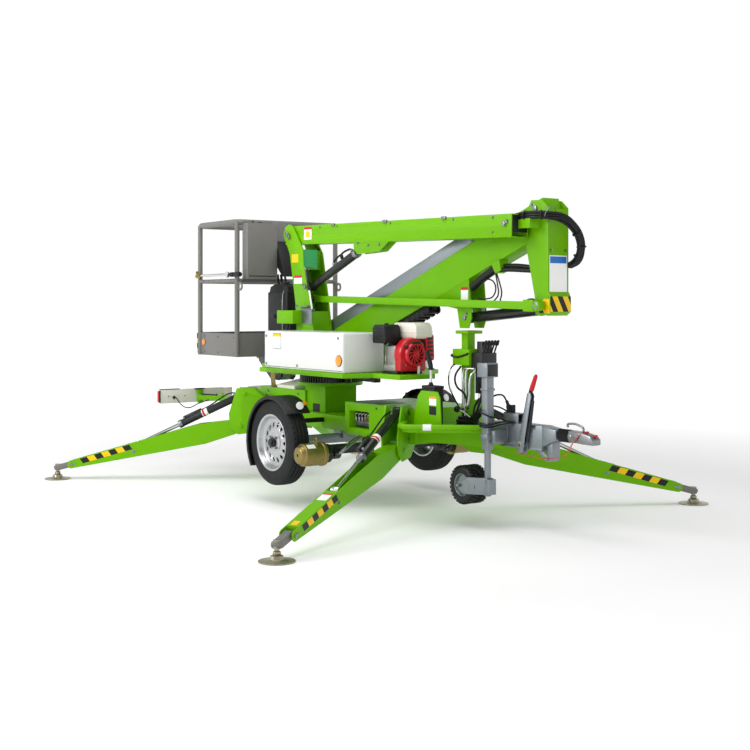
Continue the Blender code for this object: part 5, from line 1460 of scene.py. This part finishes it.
hand_over(disc("brake_sleeve", (1.872, LEVER_Y, 0.815), (1.886, LEVER_Y, 0.862), 0.0125, 0.002,
    20), PLASTIC, lever_body)
grip = turned("brake_grip", [
    (0.004, 0.0), (0.015, 0.0), (0.0145, 0.03), (0.013, 0.06), (0.0125, 0.085), (0.008, 0.097),
    (0.003, 0.1)], (0, 0, 0), "Z", 24, 50)
lean = Matrix.Translation(at(1.886, LEVER_Y, 0.852)) @ Matrix.Rotation(radians(24), 4, "Y")
grip.data.transform(lean @ Matrix.Translation(-at(0, 0, 0)))
hand_over(grip, RED_GRIP, lever_body)
hand_over(disc("brake_strut", (1.872, LEVER_Y, 0.63), (1.9, LEVER_Y, 0.79), 0.0085, 0.001,
    20), BLACK, lever_body)

# %% [markdown]
# The jack has a square mast with a winding head, a round inner tube and a fork with two pneumatic
# wheels. The tyres are turned and then get chunky blocks round the tread, one by one.

# %% Jack and jockey wheels
MAST_X, MAST_Y, MAST_LOW = 1.6, -0.157, 0.485
MAST_HALF, HEAD_HALF, STRAP_HALF = 0.0275, 0.045, 0.032


def on_mast(name, half, z0, z1, soft, segments=2):
    return block(name, (MAST_X - half, MAST_Y - half, z0), (MAST_X + half, MAST_Y + half, z1), soft,
        segments)


joined("jack_tube", GALVANISED, "chassis", [
    on_mast("mast", MAST_HALF, MAST_LOW, 0.92, 0.006, 3),
    on_mast("head", HEAD_HALF, 0.915, 1.0, 0.003),
    block("web", (1.6003, MAST_Y, 0.52), (1.66, -0.0453, 0.6), 0.002),
    on_mast("strap", STRAP_HALF, 0.545, 0.575, 0.002),
    on_mast("strap", STRAP_HALF, 0.835, 0.85, 0.002),
], "jack_mast")
# painted shade: a thin black plate darkens the winding head's front face, which is turned from the light
hand_over(block("jack_head_face", (MAST_X + 0.044, MAST_Y - 0.038, 0.922),
    (MAST_X + 0.0465, MAST_Y + 0.038, 0.993), 0.0008), BLACK, "chassis")
leg_body = BODY_OF["jack_leg"]
FORK_HALF, NECK_HALF, FORK_TOP, FORK_LOW = 0.08, 0.024, 0.315, 0.215
fork = [
    disc("tube", (MAST_X, MAST_Y, 0.207), (MAST_X, MAST_Y, 0.7), 0.02, 0.002, 36),
    block("neck", (MAST_X + 0.012, MAST_Y - 0.028, FORK_LOW + 0.004),
        (MAST_X + 0.045, MAST_Y + 0.028, FORK_TOP - 0.004)),
    disc("axle", (1.43, MAST_Y - 0.088, 0.259), (1.43, MAST_Y + 0.088, 0.259), 0.01, 0.001),
]
for side in (-1, 1):
    outer, inner = MAST_Y + side * FORK_HALF, MAST_Y + side * (FORK_HALF - 0.006)
    fork.append(side_plate("cheek", (
        (1.52, FORK_LOW), (1.52, FORK_TOP), (1.49, FORK_TOP), (1.42, 0.286), (1.405, 0.262), (1.42, 0.236),
        (1.49, FORK_LOW)), min(outer, inner), max(outer, inner), 0.001))
    bend = cut_plate("bend", ((1.518, side * FORK_HALF), (1.59, side * NECK_HALF),
                              (1.622, side * NECK_HALF), (1.622, side * (NECK_HALF - 0.006)),
                              (1.588, side * (NECK_HALF - 0.006)),
                              (1.516, side * (FORK_HALF - 0.006))), FORK_TOP - FORK_LOW,
                     lambda u, v, d: at(u, MAST_Y + v, FORK_LOW + d), 0.001)
    fork.append(bend)
hand_over(merge("jack_fork", fork), GALVANISED, leg_body, "jack_leg")
JOCKEY_X, JOCKEY_Z, JOCKEY_R = 1.43, 0.259, 0.118
tyres, hubs = [], []
wheel_body = BODY_OF["jockey_wheels"]
for side in (-1, 1):
    mid = MAST_Y + side * 0.036
    tyres.append(turned("tyre", [
        (0.068, -0.026), (0.085, -0.03), (0.104, -0.027), (0.1125, -0.018), (0.1135, 0.0),
        (0.1125, 0.018), (0.104, 0.027), (0.085, 0.03), (0.068, 0.026), (0.064, 0.0),
    ], (JOCKEY_X, mid, JOCKEY_Z), "Y", 48, 60))
    for k in range(28):
        for lane, turn in ((-0.0125, 0.0), (0.0125, 0.5)):
            angle = tau * (k + turn) / 28
            lug = block("lug", (-0.0085, -0.0105, 0.1115), (0.0085, 0.0105, JOCKEY_R), 0.001, 1)
            spin = Matrix.Rotation(angle, 4, "Y")
            lug.data.transform(Matrix.Translation(at(JOCKEY_X, mid + lane, JOCKEY_Z)) @ spin
                               @ Matrix.Translation(-at(0, 0, 0)))
            tyres.append(lug)
    hubs.append(turned("hub", [
        (0.0105, -0.029), (0.022, -0.029), (0.024, -0.012), (0.058, -0.01), (0.064, -0.024),
        (0.069, -0.026), (0.067, 0.0), (0.069, 0.026), (0.064, 0.024), (0.058, 0.01), (0.024, 0.012),
        (0.022, 0.029), (0.0105, 0.029)], (JOCKEY_X, mid, JOCKEY_Z), "Y", 40, 30))
hand_over(merge("jockey_tyres", tyres), RUBBER, wheel_body, "jockey_wheels")
hand_over(merge("jockey_hubs", hubs), GALVANISED, wheel_body, "jockey_wheels")
bolted("jockey_nut", leg_body, [(JOCKEY_X, MAST_Y - 0.088, JOCKEY_Z)], (0, -1, 0), 0.013)

# %% [markdown]
# The trailer plug waits in a galvanised holder on top of the coupling, and its cable winds round the
# jack mast. The cable is fastened at both ends, so it is a bent tube and no free cord.

# %% Trailer plug and cable
joined("plug_holder", GALVANISED, "chassis", [
    block("side", (1.615, -0.045, 0.6455), (1.745, -0.042, 0.7), 0.001),
    block("side", (1.615, 0.022, 0.6455), (1.745, 0.025, 0.7), 0.001),
    block("back", (1.615, -0.045, 0.6455), (1.618, 0.025, 0.705), 0.001),
    block("lid", (1.655, -0.045, 0.698), (1.745, 0.025, 0.7015), 0.001),
])
joined("trailer_plug", PLASTIC, "chassis", [
    disc("plug", (1.64, -0.01, 0.69), (1.622, -0.014, 0.745), 0.02, 0.004, 20, 0.75),
    disc("neck", (1.622, -0.014, 0.742), (1.612, -0.018, 0.77), 0.01, 0.002, 14),
    block("hinge", (1.65, -0.024, 0.7), (1.668, 0.006, 0.748), 0.004),
])
near, far = MAST_Y - 0.033, MAST_Y + 0.033
left, right = MAST_X - 0.033, MAST_X + 0.033
bundle("trailer_cable", RUBBER, "chassis",
    (0.0055, (1.612, -0.018, 0.768), (1.606, -0.04, 0.8), (1.608, -0.08, 0.808), (1.61, -0.1255, 0.8)),
    (0.0048, (left, far, 0.735), (left, near, 0.722), (right, near, 0.69), (1.65, -0.11, 0.672),
        (1.655, -0.06, 0.652)),
    (0.0048, (left, far, 0.64), (left, near, 0.64), (right, near, 0.634), (1.66, -0.1, 0.65),
        (1.715, -0.056, 0.655)),
    (0.0048, (left, far, 0.628), (left, near, 0.626), (right, near, 0.62), (1.66, -0.095, 0.636),
        (1.715, -0.052, 0.648)))

# %% [markdown]
# The control post carries the leg valves under a green hood. Steel pipes and hoses drop from the bank
# to a rubber boot in the drawbar, and each lever has a black knob.

# %% Control post, levers and pipes
KNOB_ROW = (-0.036, -0.012, 0.012, 0.036, 0.06)
knobs = []
for y in KNOB_ROW:
    knobs.append(disc("knob", (1.436, y, 1.098), (1.449, y, 1.128), 0.01, 0.003, 16, 0.8))
    knobs.append(disc("cuff", (1.4, y, 1.03), (1.408, y, 1.048), 0.01, 0.002, 12, 0.6))
knobs.append(turned("ball", [
    (0.001, -0.02), (0.012, -0.017), (0.019, -0.006), (0.019, 0.006), (0.012, 0.017),
    (0.001, 0.02)], (1.265, -0.12, 0.7), "Z", 24, 80))
knobs.append(turned("boot", [
    (0.045, 0.0), (0.078, 0.0), (0.08, 0.012), (0.068, 0.02), (0.074, 0.028), (0.074, 0.04), (0.062, 0.048),
    (0.064, 0.062), (0.045, 0.07)], (1.238, -0.01, 0.5855), "Z", 32, 50))
hand_over(merge("control_knobs", knobs), PLASTIC, "chassis")
pipes = [
    hose("pipe", [
        (1.35, -0.045, 0.935), (1.335, -0.062, 0.915), (1.322, -0.066, 0.86), (1.312, -0.066, 0.76),
        (1.29, -0.072, 0.705), (1.262, -0.075, 0.7)], 0.0075),
    hose("pipe", [
        (1.345, -0.05, 0.95), (1.3, -0.066, 0.945), (1.285, -0.066, 0.9), (1.28, -0.064, 0.8),
        (1.27, -0.062, 0.69)], 0.0065),
    hose("pipe", [
        (1.3, -0.058, 0.955), (1.262, -0.062, 0.94), (1.252, -0.06, 0.86), (1.25, -0.058, 0.72),
        (1.262, -0.055, 0.64)], 0.0055),
    hose("rod", [(1.265, -0.118, 0.7), (1.285, -0.09, 0.685), (1.315, -0.055, 0.65)], 0.005),
]
for y in KNOB_ROW:
    pipes.append(disc("union", (1.372, y * 0.7, 0.77), (1.372, y * 0.7, 0.802), 0.01, 0.001, 6))
hand_over(merge("control_pipes", pipes), CHROME, "chassis")
drops = []
for k, y in enumerate(KNOB_ROW):
    bow = 0.012 * (k - 2)
    drops.append(hose("drop", [
        (1.372, y * 0.7, 0.775), (1.366 + bow, y * 0.8 - 0.01, 0.72),
        (1.35 + bow / 2, y * 0.5 - 0.03, 0.67), (1.33, y * 0.3 - 0.04, 0.625)], 0.0075))
drops.append(hose("loop", [
    (1.18, -0.04, 0.985), (1.182, -0.1, 0.95), (1.184, -0.118, 0.85), (1.225, -0.105, 0.76),
    (1.262, -0.085, 0.69), (1.29, -0.06, 0.63)], 0.0045))
drops.append(hose("loop", [
    (1.23, -0.058, 0.965), (1.205, -0.085, 0.9), (1.225, -0.09, 0.84), (1.285, -0.075, 0.79),
    (1.3, -0.06, 0.7)], 0.0065))
drops.append(hose("loop", [
    (1.42, -0.02, 0.99), (1.45, -0.04, 0.93), (1.44, -0.06, 0.82), (1.4, -0.07, 0.7),
    (1.34, -0.055, 0.63)], 0.0085))
drops.append(hose("loop", [
    (1.165, -0.05, 1.035), (1.158, -0.078, 1.03), (1.2, -0.078, 1.02), (1.25, -0.076, 1.026),
    (1.318, -0.074, 1.045)], 0.006))
hand_over(merge("control_hoses", drops), RUBBER, "chassis")
joined("control_sleeves", FILM_WHITE, "chassis", [
    hose("sleeve", [(1.182, -0.105, 0.945), (1.184, -0.117, 0.905)], 0.0052, False),
    hose("sleeve", [(1.186, -0.117, 0.84), (1.205, -0.111, 0.8)], 0.0052, False),
])

# %% [markdown]
# A folded green panel guards the controls of the legs. On it sit a black switch unit and a dark curved
# grip on a bright rod. Its two notices stay blank.

# %% Guard panel with its grip
PANEL_Y = -0.296
joined("guard_plate", ENAMEL, "chassis", [
    side_plate("panel", (
        (1.045, 0.593), (1.33, 0.593), (1.315, 0.78), (1.29, 0.815), (1.13, 0.815),
        (1.095, 0.78)), PANEL_Y, PANEL_Y + 0.008, 0.0012),
    block("foot", (1.05, -0.292, 0.5928), (1.33, -0.2, 0.604), 0.001),
], "guard_panel")
joined("guard_unit", PLASTIC, "chassis", [
    block("unit", (1.11, -0.27, 0.604), (1.23, -0.2, 0.83), 0.006),
    block("lid", (1.105, -0.275, 0.826), (1.235, -0.195, 0.846), 0.005),
    disc("cuff", (1.17, -0.25, 0.844), (1.171, -0.251, 0.868), 0.018, 0.004, 20, 0.6),
    hose("grip", [
        (1.176, -0.255, 0.945), (1.174, -0.257, 0.975), (1.163, -0.261, 1.015),
        (1.15, -0.265, 1.058)], 0.0155),
    disc("guard", (1.176, -0.255, 0.945), (1.176, -0.255, 0.953), 0.024, 0.002, 20),
], "guard_panel")
hand_over(disc("guard_rod", (1.17, -0.25, 0.83), (1.175, -0.255, 0.95), 0.008, 0.001,
    20), CHROME, "chassis", "guard_panel")
FACE = PANEL_Y - FILM
for name, material, low, high in (
    ("guard_notice", FILM_WHITE, (1.212, FACE, 0.73), (1.282, PANEL_Y, 0.77)),
    ("guard_notice_head", AMBER, (1.212, FACE, 0.77), (1.282, PANEL_Y, 0.785)),
    ("guard_symbols", STRIPE_BLACK, (1.212, FACE, 0.672), (1.282, PANEL_Y, 0.724)),
):
    film(name, material, "chassis", low, high)
hand_over(hose("hoop_notice", [(1.283, -0.4, 0.604), (1.318, -0.362, 0.604)], 0.0196, False,
    5), FILM_WHITE, "chassis")

# %% [markdown]
# Each traction drive is a roller that is pressed on the tyre to move the machine by its own engine. The
# drum is yellow-passivated steel with a domed guard at its outer end, and a black hydraulic motor sits
# on its inner end. A hook and a blank notice finish it.

# %% Traction drives
DRUM_X, DRUM_Z = 0.378, 0.367
for side, label in ((-1, "right"), (1, "left")):
    solid = "traction_drive_" + label

    def drum_point(y):
        return (DRUM_X, side * y, DRUM_Z)

    shell = [
        turned("shell", [(radius, side * y) for radius, y in (
            (0.02, 0.536), (0.079, 0.536), (0.08, 0.539), (0.08, 0.558), (0.078, 0.561),
            (0.075, 0.563), (0.075, 0.686), (0.073, 0.698), (0.066, 0.703), (0.06, 0.712),
            (0.056, 0.722), (0.046, 0.7295), (0.01, 0.7295))], (DRUM_X, 0, DRUM_Z), "Y", 56, 40),
        disc("rib", drum_point(0.64), drum_point(0.646), 0.0762, 0.001, 56),
    ]
    for k in range(6):
        angle = tau * k / 6
        spot = (DRUM_X + 0.071 * cos(angle), DRUM_Z + 0.071 * sin(angle))
        shell.append(disc("stud", (spot[0], side * 0.537, spot[1]), (spot[0], side * 0.528, spot[1]), 0.006,
            0.001, 6))
    ring = [(DRUM_X + 0.03 + 0.019 * cos(t), side * 0.61, DRUM_Z + 0.09 + 0.019 * sin(t))
            for t in [tau * k / 20 for k in range(21)]]
    shell.append(hose("hook", ring, 0.005, False))
    shell.append(span("lug", side, (DRUM_X + 0.014, 0.602, DRUM_Z + 0.06),
        (DRUM_X + 0.046, 0.618, DRUM_Z + 0.078), 0.002))
    hand_over(merge("drum_shell_" + label, shell), PASSIVATED, "chassis", solid)
    joined("drum_motor_" + label, BLACK, "chassis", [
        disc("motor", drum_point(0.41), drum_point(0.491), 0.042, 0.004, 32),
        disc("flange", drum_point(0.49), drum_point(0.5365), 0.062, 0.004, 40),
        span("ports", side, (DRUM_X + 0.01, 0.425, DRUM_Z - 0.02), (DRUM_X + 0.058, 0.475, DRUM_Z + 0.022),
            0.004),
        span("arm", side, (DRUM_X - 0.03, 0.14, 0.36), (DRUM_X + 0.03, 0.5, 0.42)),
        span("post", side, (DRUM_X - 0.03, 0.14, 0.36), (DRUM_X + 0.03, 0.2, 0.4697)),
    ], solid)
    bundle("drum_lines_" + label, STEEL, "chassis",
        (0.0075, (DRUM_X + 0.056, side * 0.44, 0.375), (DRUM_X + 0.085, side * 0.43, 0.39),
            (DRUM_X + 0.07, side * 0.36, 0.44), (DRUM_X + 0.04, side * 0.25, 0.475)),
        (0.0075, (DRUM_X + 0.056, side * 0.462, 0.362), (DRUM_X + 0.1, side * 0.45, 0.38),
            (DRUM_X + 0.09, side * 0.36, 0.43), (DRUM_X + 0.06, side * 0.24, 0.475)))
    bolted("drum_bolts_" + label, "chassis",
        [(DRUM_X + 0.05 * cos(a), side * 0.49, DRUM_Z + 0.05 * sin(a)) for a in (0.8, 2.4, 3.9, 5.5)],
        (0, -side, 0), 0.008)
    tilt = Matrix.Rotation(radians(40), 4, "Y")
    notice = block("drum_notice_" + label, (-0.017, side * 0.625, 0.0745), (0.017, side * 0.685, 0.0765),
        0.0)
    notice.data.transform(
        Matrix.Translation(at(DRUM_X, 0, DRUM_Z)) @ tilt @ Matrix.Translation(-at(0, 0, 0)))
    hand_over(notice, FILM_WHITE, "chassis")
print("traction drives: 2")

# %% [markdown]
# Through the windows of the deck the valve block of the legs can be seen, with its unions and a yellow
# tag. A black sheet behind the valves is painted shade for the dark inside of the deck. A grey grip
# plate lies on the deck, and bolts hold the rear plates and the channel.

# %% Deck windows, grip plate and bolts of the frame
for side in (-1, 1):
    # painted shade: a black sheet behind each window darkens the inside of the deck
    hand_over(span("window_back", side, (0.3, 0.2105, 0.52), (0.53, 0.2125, 0.635),
        0.0), STRIPE_BLACK, "chassis")
    inside = [span("valve_block", side, (0.345, 0.212, 0.535), (0.505, 0.245, 0.565))]
    for k in range(6):
        x = 0.325 + 0.036 * k
        inside.append(disc("union", (x, side * 0.226, 0.56), (x, side * 0.226, 0.59), 0.011, 0.001, 6))
        inside.append(hose("pipe", [
            (x, side * 0.226, 0.585), (x + 0.004, side * 0.236, 0.605),
            (x + 0.02, side * 0.225, 0.618)], 0.006))
    hand_over(merge("window_valves", inside), STEEL, "chassis")
    tag = span("window_tag", side, (0.45, 0.24, 0.566), (0.49, 0.246, 0.602), 0.001)
    hand_over(tag, PASSIVATED, "chassis")
grip_plate = [block("plate", (0.285, -0.25, 0.6896), (0.6, -0.01, 0.6925), 0.001)]
for row in range(5):
    for column in range(7):
        spot = (0.31 + 0.045 * column, -0.225 + 0.047 * row)
        grip_plate.append(disc("button", (*spot, 0.692), (*spot, 0.695), 0.01, 0.001, 12, 0.7))
hand_over(merge("deck_grip_plate", grip_plate), GALVANISED, "chassis")
# painted shade: a black film stands in for the dark hollow of the opening by the pedestal
film("pedestal_opening", STRIPE_BLACK, "chassis", (-0.368, -0.1357, 0.567), (-0.275, -0.1345, 0.633))
frame_bolts = [(x, -0.271, z) for x in (0.62, 0.72, 0.98) for z in (0.5, 0.665)]
frame_bolts += [(-0.98, -0.1515, 0.69), (-0.98, -0.1515, 0.51), (-0.55, -0.1515, 0.69)]
bolted("frame_bolts_right", "chassis", frame_bolts, (0, -1, 0), 0.009)
bolted("frame_bolts_left", "chassis", [(x, -y, z) for x, y, z in frame_bolts], (0, 1, 0), 0.009)

# %% [markdown]
# The rear lamp boards are cream mouldings on green arms. Each has an orange and red lens with a black
# edge on its end, screws, and a grommet with a cable that runs down to the frame. An end piece goes
# on inwards behind each arm, as far as the telescoping boom leaves room.

# %% Lamp boards
for side, label in ((-1, "right"), (1, "left")):
    hand_over(span("lens_edge_" + label, side, (-1.752, 0.6975, 0.572), (-1.716, 0.7065, 0.668),
        0.004), PLASTIC, "chassis")
    hand_over(span("lens_side_" + label, side, (-1.748, 0.706, 0.576), (-1.72, 0.715, 0.664),
        0.004), LAMP_RED, "chassis")
    hand_over(span("lens_red_" + label, side, (-1.7865, 0.565, 0.58),
        (-1.7795, 0.625, 0.66)), LAMP_RED, "chassis")
    hand_over(span("lens_amber_" + label, side, (-1.7865, 0.628, 0.58),
        (-1.7795, 0.69, 0.66)), AMBER, "chassis")
    hand_over(span("board_cap_" + label, side, (-1.747, 0.53, 0.6745), (-1.72, 0.7, 0.679),
        0.001), PLASTIC, "chassis")
    plate_frame = span("plate_lamp_" + label, side, (-1.752, 0.19, 0.59), (-1.7445, 0.4, 0.65), 0.002)
    hand_over(plate_frame, CREAM, "chassis")
    joined("lamp_trim_" + label, PLASTIC, "chassis", [
        disc("grommet", (-1.7225, side * 0.581, 0.61), (-1.712, side * 0.581, 0.61), 0.014, 0.003, 20, 0.7),
        hose("lead", [
            (-1.716, side * 0.581, 0.61), (-1.69, side * 0.575, 0.606), (-1.655, side * 0.555, 0.56),
            (-1.64, side * 0.5, 0.53), (-1.62, side * 0.42, 0.56), (-1.59, side * 0.34, 0.59)], 0.004),
        span("stop", side, (-1.724, 0.325, 0.6695), (-1.686, 0.4, 0.678), 0.002),
        hose("rod", [
            (-1.66, side * 0.372, 0.632), (-1.58, side * 0.33, 0.63),
            (-1.52, side * 0.3, 0.628)], 0.0055, False),
    ])
    bolted("lamp_screws_" + label, "chassis", [(-1.7222, side * y, 0.62) for y in (0.628, 0.484, 0.2)],
        (1, 0, 0), 0.006)
    hand_over(cut_plate("lamp_tab_" + label, ((0, 0), (0.034, 0), (0.03, 0.026), (0.01, 0.026)), 0.005,
        lambda u, v, d: at(-1.485 + u, side * (0.279 + d) - 0.0025, 0.6245 + v)), ENAMEL, "chassis")

FLY_CLEAR = (-0.055, 0.095)
joined("board_ends", CREAM, "chassis", [
    block("carrier", (-1.744, -0.1395, 0.568), (-1.7235, FLY_CLEAR[0], 0.672)),
    block("carrier", (-1.744, FLY_CLEAR[1], 0.568), (-1.7235, 0.1395, 0.672)),
])

# %% [markdown]
# A zinc-plated rest stands on the rear of the frame, just below the turntable's rear shelf.

# %% Rear rest
joined("rear_rest", PASSIVATED, "chassis", [
    side_plate("rest", (
        (-0.935, 0.7205), (-0.87, 0.7205), (-0.885, 0.79), (-0.88, 0.858), (-0.94, 0.858),
        (-0.95, 0.8)), -0.1495, -0.1455, 0.001),
    block("foot", (-0.935, -0.1495, 0.7203), (-0.87, -0.1, 0.7245), 0.001),
    block("top", (-0.94, -0.1495, 0.855), (-0.88, -0.11, 0.859), 0.001),
])
bolted("rest_bolts", "chassis", [(-0.918, -0.122, 0.7245), (-0.888, -0.122, 0.7245)], (0, 0, 1), 0.008)

# %% [markdown]
# The last cells set the stage: a wide pale floor that glows with painted light, weakly near the machine so
# that the floor round it stays darker, and more with distance; soft lights from above and from the near
# side, and a camera at the photograph's place. The camera looks level and its lens is shifted, as a
# product photographer keeps uprights upright.

# %% Floor, light and camera
bpy.ops.mesh.primitive_plane_add(size=60.0, location=(0, 0, 0))
floor = settle(bpy.context.object, "studio_floor")
floor.data.materials.append(finish_of("studio_paper", "F4F4F4", 0.9, shade=0.0))
paper = floor.data.materials[0].node_tree.nodes["Principled BSDF"]
paper.inputs["Emission Color"].default_value = (1, 1, 1, 1)
paper_tree = floor.data.materials[0].node_tree
spot = node(paper_tree, "ShaderNodeTexCoord").outputs["Object"]
reach = node(paper_tree, "ShaderNodeVectorMath", {0: spot}, operation="LENGTH").outputs["Value"]
# painted light: the floor's glow is weak within 3 m of the middle, which darkens the floor round the
# machine, and strong beyond 8 m
lift = node(paper_tree, "ShaderNodeMapRange", {
    "Value": reach, "From Min": 3.0, "From Max": 8.0, "To Min": 0.1, "To Max": 0.62,
}).outputs["Result"]
paper_tree.links.new(lift, paper.inputs["Emission Strength"])

world = bpy.data.worlds.new("studio_air")
world.use_nodes = True
air = world.node_tree
way = node(air, "ShaderNodeTexCoord").outputs["Generated"]
height = node(air, "ShaderNodeSeparateXYZ", {"Vector": way}).outputs["Z"]
glow = node(air, "ShaderNodeMapRange", {
    "Value": height, "From Min": 0.26, "From Max": 0.55, "To Min": 1.02, "To Max": 0.42,
}).outputs["Result"]
air.links.new(glow, air.nodes["Background"].inputs["Strength"])
air.nodes["Background"].inputs["Color"].default_value = (1, 1, 1, 1)
bpy.context.scene.world = world


def soft_light(name, place, aim, size, power):
    bpy.ops.object.light_add(type="AREA", location=place)
    light = bpy.context.object
    light.name = name
    light.data.size = size
    light.data.energy = power
    light.rotation_euler = (Vector(aim) - Vector(place)).to_track_quat("-Z", "Y").to_euler()


soft_light("top_softbox", (0.5, -1.0, 5.5), (0, 0, 0.5), 4.0, 150)
soft_light("key_softbox", (-1.5, -7.0, 4.2), (0, 0, 0.9), 3.0, 250)

CAMERA_PLACE = (7.2176, -4.9659, 1.346)
CAMERA_HEADING = 54.64
FOCAL_PIXELS = 1237.0
HORIZON_ROW = 304.8
FRAME_SIDE = 750.0
bpy.ops.object.camera_add(location=at(*CAMERA_PLACE))
camera = bpy.context.object
camera.rotation_euler = (radians(90), 0, radians(CAMERA_HEADING))
camera.data.sensor_width = 36.0
camera.data.lens = FOCAL_PIXELS / FRAME_SIDE * camera.data.sensor_width
camera.data.shift_y = (HORIZON_ROW - FRAME_SIDE / 2) / FRAME_SIDE
bpy.context.scene.camera = camera
bpy.context.scene.view_settings.view_transform = "Standard"

# %% The end: the bolt pattern is removed
bpy.data.objects.remove(BOLT, do_unlink=True)
